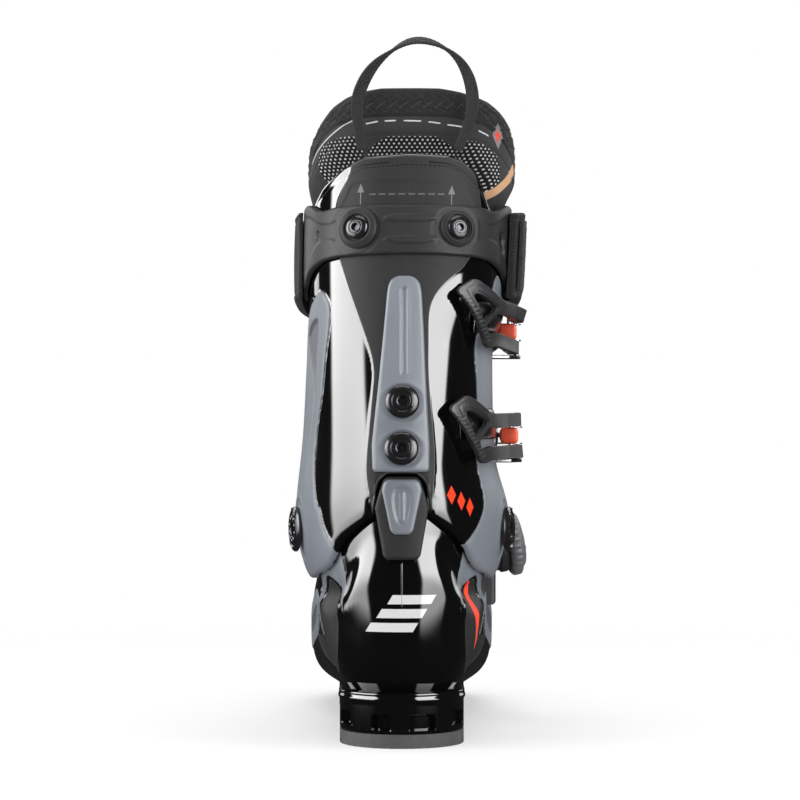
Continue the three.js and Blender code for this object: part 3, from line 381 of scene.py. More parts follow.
def round_solid(rows, caps=True):
    """A solid from closed outlines with the same number of points."""
    rows = np.array(rows)
    m, n = rows.shape[:2]
    faces = grid_faces(n, m, wrap=True)
    if caps:
        faces += [tuple(k * m for k in range(n)), tuple(k * m + m - 1 for k in range(n))[::-1]]
    return rows.transpose(1, 0, 2).reshape(-1, 3), faces


def columns(values, share):
    return np.repeat(values[:, None], len(share), 1)


def flat_and_rim(x, z, along=1, across=1):
    """A grid's points in its plane, and its border as an outline thinned by the two steps."""
    grid = np.stack([x, z], -1)
    rim = np.vstack([grid[::along, 0], grid[-1, ::across], grid[::-along, -1], grid[0, ::-across]])
    return grid.reshape(-1, 2), rim


def from_border(rows, share, per_row, height):
    """Distance of a grid's points from its border."""
    along = np.minimum(rows - rows[0], rows[-1] - rows)[:, None] * per_row
    return np.minimum(np.minimum(share, 1 - share)[None] * height, along)


def outside_only(values, fill=FAR):
    """Attribute values of a sheet's outside, followed by a fill for its inside."""
    return np.concatenate([values, np.full_like(values, fill)])


def threads(across, along):
    """A sheet's cloth attribute: millimetres across and along its threads, the same on both sides."""
    run = np.stack([across, along, 0 * along], -1).reshape(-1, 3)
    return {"cloth": np.vstack([run, run])}


def sheet(outer, inner):
    """Points and faces of a closed solid between two (ni, nj, 3) grids."""
    ni, nj = outer.shape[:2]
    n = ni * nj
    points = np.vstack([outer.reshape(-1, 3), inner.reshape(-1, 3)])
    faces = grid_faces(ni, nj) + grid_faces(ni, nj, n, True)
    border = [i * nj for i in range(ni)] + [(ni - 1) * nj + j for j in range(1, nj)]
    border += [i * nj + nj - 1 for i in range(ni - 2, -1, -1)] + list(range(nj - 2, 0, -1))
    for a, b in zip(border, border[1:] + border[:1]):
        faces.append((a, a + n, b + n, b))
    return points, faces


def crowned(distance, radius, drop):
    """How far a surface falls within `radius` of its border, on a quarter circle."""
    t = np.clip(1 - distance / radius, 0, 1)
    return drop * (1 - np.sqrt(np.maximum(0, 1 - t * t)))


def even(low, high, step, edge=2.6):
    """Positions from low to high about `step` apart, close together at both ends."""
    span = high - low
    fine = edge * (1 - np.cos(np.linspace(0, np.pi / 2, 5))[1:])
    inner = np.linspace(edge, span - edge, max(2, round((span - 2 * edge) / step)))
    return low + np.concatenate([[0], fine[:-1], inner, span - fine[:-1][::-1], [span]])


def turned(profile, centre, axis, sides=48):
    """Points and faces of a turned solid; profile rows are [radius, height]."""
    axis = unit(axis)
    side = unit(np.cross(axis, [0, 0, 1] if abs(axis[2]) < 0.9 else [1, 0, 0]))
    up = np.cross(axis, side)
    angle = np.linspace(0, 2 * np.pi, sides, endpoint=False)
    ring = np.cos(angle)[:, None] * side + np.sin(angle)[:, None] * up
    return round_solid([np.asarray(centre) + axis * h + ring * r for r, h in profile], False)


def merge(*parts):
    points, faces = [], []
    start = 0
    for p, f in parts:
        points.append(np.asarray(p, float).reshape(-1, 3))
        faces += [tuple(k + start for k in face) for face in f]
        start += len(points[-1])
    return np.vstack(points), faces


def tube(path, radius, sides=14, closed=False, steps=6):
    """Points and faces of a round bar along a smoothed path."""
    path = np.array(path, float)
    n = len(path)
    if closed:
        rows = np.vstack([path[-3:], path, path[:4]])
        curve = spline(np.column_stack([np.arange(-3, n + 4), rows]))
        k = np.linspace(0, n, n * steps, endpoint=False)
    else:
        curve = spline(np.column_stack([np.arange(n), path]))
        k = np.linspace(0, n - 1, (n - 1) * steps + 1)
    centre = curve(k).T
    ahead = curve(k + 0.01).T
    along = unit(ahead - centre)
    normal = np.cross(along[0], [0.3, 0.2, 0.93])
    frames = []
    for d in along:
        normal = normal - d * (normal @ d)
        normal = normal / np.linalg.norm(normal)
        frames.append((normal, np.cross(d, normal)))
    angle = np.linspace(0, 2 * np.pi, sides, endpoint=False)
    rings = [c + radius * (np.cos(angle)[:, None] * a + np.sin(angle)[:, None] * b)
             for c, (a, b) in zip(centre, frames)]
    points = np.array(rings)
    ni = len(points)
    faces = ring_faces(ni, sides, closed).tolist()
    points = points.reshape(-1, 3)
    if not closed:
        faces += [tuple(range(sides))[::-1], tuple(range((ni - 1) * sides, ni * sides))]
    return points, faces


def flat_plate(outline, holes, thickness, bevel, cuts=(), steps=3):
    """A plate with rounded edges from a 2-D outline: bmesh in (x, y, z), cut across at x = cuts."""
    curve = bpy.data.curves.new("outline", "CURVE")
    curve.dimensions = "2D"
    curve.fill_mode = "BOTH"
    curve.extrude = max(thickness / 2 - bevel, 0.001)
    curve.bevel_depth = bevel
    curve.bevel_resolution = steps
    curve.offset = -bevel
    for ring in [outline, *holes]:
        line = curve.splines.new("POLY")
        line.points.add(len(ring) - 1)
        for p, (x, y) in zip(line.points, ring):
            p.co = (x, y, 0, 1)
        line.use_cyclic_u = True
    holder = bpy.data.objects.new("outline", curve)
    bpy.context.scene.collection.objects.link(holder)
    mesh = bpy.data.meshes.new_from_object(holder)
    bpy.data.objects.remove(holder)
    bpy.data.curves.remove(curve)
    build = bmesh.new()
    build.from_mesh(mesh)
    bmesh.ops.remove_doubles(build, verts=build.verts, dist=0.01)
    for x in cuts:
        everything = build.verts[:] + build.edges[:] + build.faces[:]
        bmesh.ops.bisect_plane(build, geom=everything, plane_co=(x, 0, 0), plane_no=(1, 0, 0), dist=0.01)
    bmesh.ops.triangulate(build, faces=[f for f in build.faces if len(f.verts) > 4])
    points = np.array([v.co[:] for v in build.verts])
    build.verts.index_update()
    faces = [[v.index for v in f.verts] for f in build.faces]
    build.free()
    return points, faces


# ------------------------------------------------------------------ materials
class Nodes:
    """A small builder for node trees."""

    def __init__(self, owner):
        owner.use_nodes = True
        self.tree = owner.node_tree

    def put(self, socket, value):
        if isinstance(value, bpy.types.NodeSocket):
            self.tree.links.new(value, socket)
        elif isinstance(value, (int, float)) and hasattr(socket.default_value, "__len__"):
            socket.default_value = (value, value, value, 1)[: len(socket.default_value)]
        elif isinstance(value, tuple) and len(value) == 3 and len(socket.default_value) == 4:
            socket.default_value = (*value, 1)
        else:
            socket.default_value = value

    def node(self, kind, inputs=None, **props):
        node = self.tree.nodes.new("ShaderNode" + kind)
        for key, value in props.items():
            setattr(node, key, value)
        for key, value in (inputs or {}).items():
            self.put(node.inputs[key], value)
        return node

    def math(self, operation, a, b=0.0):
        return self.node("Math", {0: a, 1: b}, operation=operation).outputs[0]

    def times(self, a, b):
        return self.math("MULTIPLY", a, b)

    def plus(self, a, b):
        return self.math("ADD", a, b)

    def minus(self, a, b):
        return self.math("SUBTRACT", a, b)

    def ratio(self, a, b):
        return self.math("DIVIDE", a, b)

    def size(self, a):
        return self.math("ABSOLUTE", a)

    def step(self, value, low, high, bottom=0.0, top=1.0):
        inputs = {"Value": value, "From Min": low, "From Max": high, "To Min": bottom, "To Max": top}
        return self.node("MapRange", inputs, interpolation_type="SMOOTHSTEP").outputs[0]

    def mix(self, factor, a, b):
        node = self.node("Mix", data_type="RGBA")
        self.put(node.inputs[0], factor)
        self.put(node.inputs[6], a)
        self.put(node.inputs[7], b)
        return node.outputs[2]

    def blend(self, factor, a, b):
        node = self.node("Mix", data_type="FLOAT")
        for k, value in enumerate((factor, a, b)):
            self.put(node.inputs[(0, 2, 3)[k]], value)
        return node.outputs[0]

    def slab(self, x, z, centre, half, skew=0.0, soft=0.05):
        """A rectangle or, with skew, a parallelogram in the (x, z) plane, as a mask."""
        level = self.minus(z, centre[1])
        along = self.minus(self.minus(x, centre[0]), self.times(level, skew))
        wide = self.step(self.size(along), half[0] + soft, half[0] - soft)
        tall = self.step(self.size(level), half[1] + soft, half[1] - soft)
        return self.times(wide, tall)

    def either(self, *masks):
        total = masks[0]
        for mask in masks[1:]:
            total = self.math("MAXIMUM", total, mask)
        return total

    def coords(self):
        return self.node("TexCoord").outputs["Object"]

    def noise(self, scale, detail=3.0, vector=None, rough=0.5):
        inputs = {"Vector": vector or self.coords(), "Scale": scale, "Detail": detail, "Roughness": rough}
        return self.node("TexNoise", inputs).outputs["Fac"]

    def uneven(self, scale, detail, amount):
        return self.times(self.minus(self.noise(scale, detail), 0.5), amount)

    def zone(self, key, soft=0.12):
        """A mask from a piece's attribute, a signed distance in millimetres."""
        return self.step(self.attribute(key), soft, -soft)

    def voronoi(self, scale):
        return self.node("TexVoronoi", {"Vector": self.coords(), "Scale": scale}).outputs["Distance"]

    def attribute(self, name, output="Fac"):
        return self.node("Attribute", attribute_name=name).outputs[output]

    def stretched(self, x, y, z):
        return self.node("Mapping", {"Vector": self.coords(), "Scale": (x, y, z)}).outputs[0]

    def wear(self, amount=0.5):
        """Bright along convex edges, broken up by noise."""
        edge = self.node("NewGeometry").outputs["Pointiness"]
        raised = self.step(edge, 0.52, 0.6)
        return self.times(self.times(raised, self.noise(240, 4)), amount)

    def bump(self, height, depth_mm, normal=None):
        node = self.node("Bump", {"Height": height, "Distance": depth_mm / 1000})
        if normal is not None:
            self.put(node.inputs["Normal"], normal)
        return node.outputs[0]


class Shader(Nodes):
    """A node material round one Principled shader."""

    def __init__(self, name):
        self.material = bpy.data.materials.new(name)
        super().__init__(self.material)
        self.bsdf = self.tree.nodes["Principled BSDF"]

    def done(self, **inputs):
        for key, value in inputs.items():
            self.put(self.bsdf.inputs[key.replace("_", " ")], value)
        return self.material


def shade(colour, times, more=0.0):
    return tuple(min(1, c * times + more) for c in colour)


def plastic(name, colour, roughness=0.45, stipple=0.05, coat=0.0, variation=0.12, wear=0.25, specular=0.5):
    """Moulded plastic: fine stippled skin, uneven sheen, scuffs, paler edges."""
    s = Shader(name)
    tone = s.noise(9, 4)
    lighter = shade(colour, 1 + variation, 0.004)
    darker = shade(colour, 1 - variation)
    base = s.mix(s.step(tone, 0.35, 0.65), darker, lighter)
    base = s.mix(s.wear(wear), base, shade(colour, 1.8, 0.05))
    scuff = s.step(s.noise(60, 6, s.stretched(1, 1, 6), 0.7), 0.55, 0.75)
    rough = s.plus(s.times(scuff, 0.07), roughness)
    rough = s.plus(rough, s.uneven(35, 2, 0.1))
    grain = s.bump(s.noise(1600, 2), stipple)
    normal = s.bump(s.noise(30, 3), 0.04, grain)
    return s.done(Base_Color=base, Roughness=rough, Normal=normal, Coat_Weight=coat, Coat_Roughness=0.08,
                  Specular_IOR_Level=specular)


def metal(name, colour, roughness, brushed=(1, 1, 30), metallic=1.0, grain=0.02):
    s = Shader(name)
    lines = s.noise(260, 3, s.stretched(*brushed), 0.6)
    tone = s.step(s.noise(20, 4), 0.3, 0.7)
    base = s.mix(tone, shade(colour, 0.85), colour)
    base = s.mix(s.wear(0.5), base, shade(colour, 1.5, 0.12))
    rough = s.plus(roughness - 0.06, s.times(lines, 0.14))
    return s.done(Base_Color=base, Metallic=metallic, Roughness=rough, Normal=s.bump(lines, grain))


def rubber(name, colour):
    s = Shader(name)
    dust = s.step(s.noise(45, 6, None, 0.65), 0.45, 0.8)
    base = s.mix(s.times(dust, 0.5), colour, shade(colour, 1.7, 0.01))
    base = s.mix(s.wear(0.6), base, shade(colour, 2, 0.03))
    grain = s.bump(s.voronoi(900), 0.06)
    return s.done(Base_Color=base, Roughness=s.plus(0.68, s.times(dust, 0.2)),
                  Normal=s.bump(s.noise(1500, 3), 0.05, grain), Specular_IOR_Level=0.35)


SHEEN_TINT = (0.6, 0.6, 0.62)


def woven(name, colour, pale, across, along, depth, sheen=0.35):
    """A woven or knitted cloth whose threads follow the piece's own (across, along) millimetres."""
    s = Shader(name)
    split = s.node("SeparateXYZ", {0: s.attribute("cloth", "Vector")})
    a = s.times(split.outputs[0], 2 * math.pi / across)
    b = s.times(split.outputs[1], 2 * math.pi / along)
    warp = s.math("SINE", a)
    weft = s.math("SINE", b)
    product = s.times(warp, weft)
    thread = s.step(product, -0.6, 0.8)
    fibre = s.noise(3200, 3)
    tone = s.times(s.plus(thread, s.times(fibre, 0.5)), 0.6)
    base = s.mix(tone, colour, pale)
    patch = s.step(s.noise(25, 4), 0.3, 0.75)
    base = s.mix(s.times(patch, 0.25), base, pale)
    normal = s.bump(fibre, 0.06, s.bump(thread, depth))
    return s.done(Base_Color=base, Roughness=0.85, Normal=normal, Sheen_Weight=sheen, Sheen_Roughness=0.4,
                  Sheen_Tint=SHEEN_TINT, Specular_IOR_Level=0.2)


# Grey of the printed marks, also used for the painted highlight line along the matte borders.
PRINT_AND_HIGHLIGHT_GREY = (0.2, 0.2, 0.205)
BLACK = (0.0026, 0.0026, 0.0028)
MATTE = (0.025, 0.025, 0.0255)
BLUE_GREY = (0.180, 0.199, 0.227)
SIGNAL_RED = (1.0, 0.066, 0.022)


def shell_material(name):
    """Gloss black shell plastic with matte and grey zones, a painted highlight line on matte borders and
    painted shade in hollows and grooves; each zone is a signed distance in mm.
    """
    s = Shader(name)

    zone = s.zone
    grey, matte, deep = zone("grey"), zone("matte", 0.2), zone("deep", 0.3)
    tone = s.step(s.noise(14, 4), 0.3, 0.7)
    colour = s.mix(tone, BLACK, shade(BLACK, 1.25))
    colour = s.mix(matte, colour, s.mix(tone, MATTE, shade(MATTE, 1.18)))
    greys = s.mix(tone, shade(BLUE_GREY, 0.93), shade(BLUE_GREY, 1.06))
    # Painted shade: the grey zones' sunk hollows (the deep field) are painted a darker grey.
    greys = s.mix(deep, greys, shade(BLUE_GREY, 0.52))
    colour = s.mix(grey, colour, greys)
    # Painted highlight: a paler grey line along the matte zones' borders and just inside the cuff's rim,
    # standing in for light caught by the edge.
    edge = s.times(s.step(s.size(s.attribute("matte")), 0.42, 0.1), 0.3)
    colour = s.mix(edge, colour, PRINT_AND_HIGHLIGHT_GREY)
    split = s.node("SeparateXYZ", {0: s.attribute("print", "Vector")})
    across, up, depth = split.outputs
    pale, bars, marks = [], [], []
    for x, z in ((-27.8, 302.6), (24.9, 301.4)):
        pale.append(s.slab(across, up, (x, z + 1.5), (0.3, 4.2)))
        tip = s.plus(s.size(s.minus(across, x)), s.times(s.minus(up, z + 4.2), 0.42))
        above = s.step(up, z + 4.1, z + 4.3)
        pale.append(s.times(s.step(tip, 2.2, 2.05), above))
    for k in range(8):
        pale.append(s.times(s.slab(across, up, (-20.6 + 5.6 * k, 305.6), (1.9, 0.42), 0.3), 0.55))
    for k, (low, high) in enumerate(((-17, 9), (-11, 14), (-5, 19))):
        middle = ((low + high) / 2 - 1.5, 65.6 + 7.6 * k)
        bars.append(s.slab(across, up, middle, ((high - low) / 2, 2.5), 0.6))
    for k in range(3):
        offset_x = s.size(s.minus(across, 30.2 + 7.4 * k))
        offset_z = s.size(s.minus(up, 137.6 - 3.5 * k))
        reach = s.plus(s.ratio(offset_x, 3.3), s.ratio(offset_z, 5.2))
        marks.append(s.step(reach, 1.02, 0.98))
    on_shell = s.step(depth, -20.0, -21.0)
    on_cuff = s.minus(1.0, on_shell)
    colour = s.mix(s.times(s.either(*pale), on_cuff), colour, PRINT_AND_HIGHLIGHT_GREY)
    colour = s.mix(s.times(s.either(*bars), on_shell), colour, (0.72, 0.72, 0.72))
    red = s.either(s.times(s.either(*marks), on_cuff), zone("red", 0.1))
    colour = s.mix(red, colour, SIGNAL_RED)
    dash = s.minus(s.math("FRACT", s.ratio(across, 2.6)), 0.5)
    hem = s.times(s.slab(dash, depth, (0.0, 6.6), (0.3, 0.3), 0.0, 0.06), on_cuff)
    colour = s.mix(hem, colour, (0.003, 0.003, 0.003))
    # Painted shade: near-black along the grooves, seams and panel borders, where the line distance is small.
    colour = s.mix(s.times(s.step(s.attribute("line"), 0.5, 0.15), 0.75), colour, (0.004, 0.004, 0.004))
    painted = s.math("MAXIMUM", matte, grey)
    soft = s.uneven(40, 3, 0.06)
    hair = s.step(s.noise(190, 4, s.stretched(1, 1, 0.1), 0.6), 0.55, 0.8)
    gloss = s.plus(0.075, s.times(hair, 0.035))
    dull = s.blend(grey, 0.56, 0.46)
    rough = s.plus(s.blend(painted, gloss, dull), soft)
    stipple = s.times(s.noise(1500, 2), painted)
    normal = s.bump(stipple, 0.05)
    ripple = s.times(s.noise(22, 2), s.minus(1.0, painted))
    normal = s.bump(ripple, 0.10, normal)
    groove = s.bump(s.step(s.attribute("line"), 0.0, 0.7), 0.5, normal)
    shine = s.blend(painted, 0.62, s.blend(grey, 0.14, 0.3))
    return s.done(Base_Color=colour, Roughness=rough, Normal=groove, Specular_IOR_Level=shine,
                  Coat_Weight=s.blend(painted, 0.5, 0.0), Coat_Roughness=0.04)


shell_plastic = shell_material("shell_plastic")
matte_plastic = plastic("matte_plastic", (0.022, 0.022, 0.0225), 0.52, 0.04, specular=0.18)
dark_plastic = plastic("dark_plastic", (0.022, 0.022, 0.023), 0.42, 0.04)
grey_plastic = plastic("grey_plastic", BLUE_GREY, 0.45, 0.05, wear=0.12)
tab_plastic = plastic("tab_plastic", (0.17, 0.187, 0.215), 0.4, 0.04, wear=0.15)
knob_plastic = plastic("knob_plastic", (0.11, 0.112, 0.117), 0.5, 0.05)
red_plastic = plastic("red_plastic", (1.0, 0.095, 0.032), 0.32, 0.03, coat=0.3, wear=0.1)
gloss_plastic = plastic("gloss_plastic", (0.008, 0.008, 0.0085), 0.14, 0.01, coat=0.5, wear=0.1)
board_plastic = plastic("board_plastic", (0.07, 0.07, 0.075), 0.7, 0.12)
black_alloy = metal("black_alloy", (0.034, 0.034, 0.036), 0.36, metallic=0.35)
bolt_metal = metal("bolt_metal", (0.05, 0.05, 0.053), 0.2, (1, 1, 1), 0.8)
bright_steel = metal("bright_steel", (0.62, 0.62, 0.63), 0.26)
hinge_steel = metal("hinge_steel", (0.34, 0.34, 0.35), 0.24)
wire_steel = metal("wire_steel", (0.30, 0.30, 0.31), 0.3, (1, 30, 1))
sole_rubber = rubber("sole_rubber", (0.05, 0.05, 0.052))
strap_webbing = woven("strap_webbing", (0.007, 0.007, 0.0075), (0.03, 0.03, 0.031), 1.7, 1.3, 0.35,
                      sheen=0.15)
loop_webbing = woven("loop_webbing", (0.004, 0.004, 0.0045), (0.05, 0.05, 0.052), 2.0, 1.7, 0.5, sheen=0.12)
lining_cloth = woven("lining_cloth", (0.01, 0.01, 0.011), (0.035, 0.035, 0.037), 1.5, 1.5, 0.15, sheen=0.2)
lace_cord = woven("lace_cord", (0.02, 0.02, 0.02), (0.35, 0.35, 0.36), 1.2, 1.2, 0.1)

# ------------------------------------------------------------------ cuff
CUFF_BOTTOM = polyline([
    [0, 149], [5, 149], [8.2, 145], [8.9, 140], [9.3, 127], [10, 125.8], [16, 119], [22, 111.5],
    [24.5, 105.5], [28, 99], [33, 95], [41, 92.3], [48, 90.5], [58, 88], [68, 90], [78, 96], [92, 107],
    [112, 121], [135, 138], [158, 156.5], [180, 162.5], [205, 164.5],
])
CUFF_TOP = polyline([
    [0, 329], [22, 327], [32, 321.5], [40, 316], [49, 311], [57, 305], [75, 296], [100, 288], [130, 282],
    [160, 279], [180, 278], [205, 277],
])
CUFF_TOP_OUTER = polyline([
    [0, 329], [18, 328], [25, 325.5], [31, 320.5], [36, 314], [40, 307], [44, 299], [50, 294], [60, 292.5],
    [75, 291.5], [100, 287.5], [130, 282], [160, 279], [180, 278], [205, 277],
])


def cuff_top(psi):
    return np.where(np.asarray(psi) > 0, CUFF_TOP_OUTER(np.abs(psi)), CUFF_TOP(np.abs(psi)))


# Zones on the cuff as (arc from the rear middle, height).
MATTE_ZONE = rounded([
    [-17, 122], [-17.5, 134], [-20, 146], [-20.6, 155], [-18.5, 178], [-17.5, 190], [-16, 208],
    [-21.5, 225], [-41, 269], [-45, 285], [-44.5, 301], [-40.5, 308], [-33.5, 320], [-35, 334], [38, 334],
    [39, 320], [45, 305], [46, 285], [36, 266], [23.5, 257], [16.5, 249], [13.2, 240], [13.6, 224],
    [14.2, 201], [18, 168], [19, 156], [18, 141], [16.7, 122],
], 2)
MEDIAL_LEAF = rounded([
    [-57, 253], [-49.5, 245], [-48, 240], [-48.6, 231], [-51.5, 220], [-53.6, 209], [-55.8, 195],
    [-58.6, 187], [-64, 172], [-67.2, 158], [-66.2, 144], [-63.2, 132], [-58.5, 128.5], [-57.2, 122],
    [-52.5, 114.5], [-48, 110], [-46, 104], [-52, 92], [-75, 84], [-104, 84], [-124, 96], [-130, 112],
    [-122, 128], [-110, 142], [-104, 165], [-104, 190], [-100, 214], [-92, 230], [-80, 242], [-68, 248.5],
], 2)
MEDIAL_HOLLOW = rounded([
    [-61.4, 237], [-70, 235.5], [-79, 231.5], [-84.5, 227], [-83, 223.5], [-75.4, 216], [-69, 206],
    [-66, 195], [-64.4, 208], [-62.2, 220], [-60.8, 230],
], 2)
MEDIAL_CREASE = rounded([
    [-66, 196], [-67.4, 185], [-70, 180], [-75.4, 164], [-79.2, 152], [-79.4, 145],
], 2, False)
LATERAL_FIELD = rounded([
    [41, 109], [46.5, 114.4], [52.4, 119.5], [57.4, 126], [60.2, 132], [59.6, 140], [55.8, 151], [53, 165],
    [52.2, 178], [54.5, 188], [52, 203], [47.4, 218], [50, 229], [58, 243], [63, 257], [68, 262], [76, 258],
    [86, 248], [100, 240], [112, 232], [112, 205], [106, 180], [106, 160], [112, 142], [124, 128],
    [130, 112], [124, 96], [104, 84], [75, 84], [52, 92], [44, 104],
], 2)
LATERAL_HOLLOW = rounded([[84, 214], [100, 226], [104, 222], [98, 200], [94, 178], [92, 196]], 2)
REAR_STEP = rounded([
    [-44, 296], [-38, 303], [-34.5, 311], [-30, 313.5], [23, 313.2], [30, 310.5], [36.5, 304], [42, 296],
], 2)
PIVOT_RING_ARC = 100.0


def stroke(p, *lines):
    """Distance from each point to the nearest of the lines."""
    return np.min([distance_to_lines(p, line) for line in lines], 0)


def cuff_sheet():
    """The cuff: finer in its rear half, where its zones, seams and raised fields are."""
    psis = np.unique(np.concatenate([
        np.arange(-200, -78, 1.6), np.arange(-78, 78.1, 0.65), np.arange(80, 190.1, 1.6),
        [s * k for s in (-1, 1) for k in (5, 6.6, 8.2, 8.6, 8.9, 9.1, 9.3, 9.6, 10)], [190],
    ]))
    psis = psis[np.concatenate([[True], np.diff(psis) > 0.12])]
    bottom, top = CUFF_BOTTOM(np.abs(psis)), cuff_top(psis)
    share = even(0, 190, 1.1, 3.2) / 190
    psi = columns(psis, share)
    z = bottom[:, None] + (top - bottom)[:, None] * share
    lift = FLAP_STEP * fade(-148, -118, psi)
    flat, rim = flat_and_rim(arc_of(psi, z), z, 3, 6)
    to_rim = np.abs(signed_distance(flat, rim))
    matte = signed_distance(flat, MATTE_ZONE)
    grey = np.minimum(signed_distance(flat, MEDIAL_LEAF), signed_distance(flat, LATERAL_FIELD))
    hollow = np.minimum(signed_distance(flat, MEDIAL_HOLLOW), signed_distance(flat, LATERAL_HOLLOW))
    crease = distance_to_lines(flat, MEDIAL_CREASE)
    ring = np.hypot(np.abs(flat[:, 0]) - PIVOT_RING_ARC, flat[:, 1] - PIVOT_Z)
    above_step = signed_distance(flat, REAR_STEP)
    seam = np.where((np.abs(flat[:, 0]) < 6) & ((flat[:, 1] > 259) | (flat[:, 1] < 150)),
                    np.abs(flat[:, 0] - 0.4), 9.0)
    off = -0.45 * smoothstep(-0.2, 0.9, matte)
    off = off + 1.0 * fade(-1.1, 0.1, grey)
    off = off - 1.3 * fade(-2.2, 0.2, hollow)
    off = off - 0.7 * bell(crease, 1.0)
    off = off - 0.6 * bell(ring - 15.6, 1.5) + 0.5 * bell(ring - 18.6, 1.5)
    off = off - 0.5 * fade(-0.9, 0.3, above_step)
    rim_groove = np.abs((cuff_top(psi) - z).ravel() - 4.6)
    off = off - 0.35 * bell(rim_groove, 0.55)
    rear = fade(30, 42, np.abs(psi.ravel()))
    below = (z - CUFF_BOTTOM(np.abs(psi))).ravel()
    bevel = np.where(below < 12, to_rim, 99)
    off = off - crowned(bevel, 7.2, 1.9) * rear
    off = off - crowned(to_rim, 1.8, 1.7)
    outer = cuff_point(psi, z, lift + off.reshape(psi.shape))
    inner = cuff_point(psi, z, lift - CUFF_WALL)
    points, faces = sheet(outer, inner)
    fields = {
        "grey": grey,
        # Raised near the rim: keeps the rim gloss and places the painted highlight line just inside it.
        "matte": np.maximum(matte, 0.6 - to_rim * 0.5),
        # deep: the sunk hollows, painted a darker grey as shade by shell_material.
        "deep": hollow,
        "red": np.full(len(flat), FAR),
        # line: distance to the rim groove, the seams and the grey borders; painted dark as shade and bumped
        # as a groove.
        "line": np.minimum.reduce([rim_groove * 1.2 + 0.1, seam + 0.12, np.abs(grey) + 0.05]),
    }
    attributes = {key: outside_only(values) for key, values in fields.items()}
    attributes["print"] = outside_only(np.column_stack([flat, (top[:, None] - z).ravel()]), NOWHERE)
    piece("cuff", (points, faces), shell_plastic, "upper_boot", 50, attributes)


cuff_sheet()


# ------------------------------------------------------------------ lower shell
# Zones on the heel as (angle round a post in the ankle, height), the same on both sides.
WISHBONE = rounded([
    [57, 120], [54.5, 108], [51.5, 98], [47.5, 88], [43.5, 79], [41, 71.5], [45.5, 77], [51, 81.5],
    [59, 85.5], [68, 88.5], [78, 90.5], [88, 91.5], [97, 89], [105, 83], [113, 75], [121, 66], [125, 58],
    [130, 53], [134, 55], [133, 66], [127, 80], [124, 92], [128, 106], [132, 120],
], 2)
ANKLE_FIELD = rounded([
    [88, 89.5], [77, 88], [66, 85], [57, 80.5], [50, 73], [49, 62], [53, 48], [62, 38], [90, 33], [126, 32],
    [150, 38], [156, 50], [140, 52], [131, 46], [122, 54], [117, 64], [109, 73], [100, 81],
], 2)
WISHBONE_SLOTS = ([[68.5, 96], [62, 90], [53.4, 79]], [[107, 88], [116, 77], [124, 66]])
FORE_BLADE = rounded([[-20, 66], [6, 78], [34, 72], [66, 54], [96, 40], [112, 36], [108, 31], [84, 32],
                      [50, 38], [20, 46], [-8, 52]], 2)
FORE_BLADE_HOLLOW = rounded([[-4, 64], [12, 68], [38, 60], [62, 48], [44, 46], [18, 54]], 2)
MM_PER_DEGREE, MM_PER_STATION = 0.92, 22
FLAP_EDGE = [[2.9, -36], [3.2, -41], [7.1, -41], [7.5, -20], [7.5, 16], [7.1, 21], [3.4, 21], [2.9, 15]]
SIDE_STRIPE = [[72.5, 83], [72, 72], [77.5, 62], [90, 54], [104, 49]]


def shell_fields(points):
    """Distances of the shell's points from its painted and sunk zones."""
    x, y, z = points.T
    side = np.abs(x)
    phi = np.degrees(np.arctan2(side, -(y + 95)))
    heel = np.stack([phi, z], 1)
    flank = np.stack([y, z], 1)
    grey = signed_distance(heel, WISHBONE) * MM_PER_DEGREE
    matte = signed_distance(heel, ANKLE_FIELD) * MM_PER_DEGREE
    slots = stroke(heel, *WISHBONE_SLOTS) * MM_PER_DEGREE
    blade = np.where(side > 30, signed_distance(flank, FORE_BLADE), FAR)
    hollow = np.where(side > 30, signed_distance(flank, FORE_BLADE_HOLLOW), FAR)
    return heel, grey, matte, slots, blade, hollow


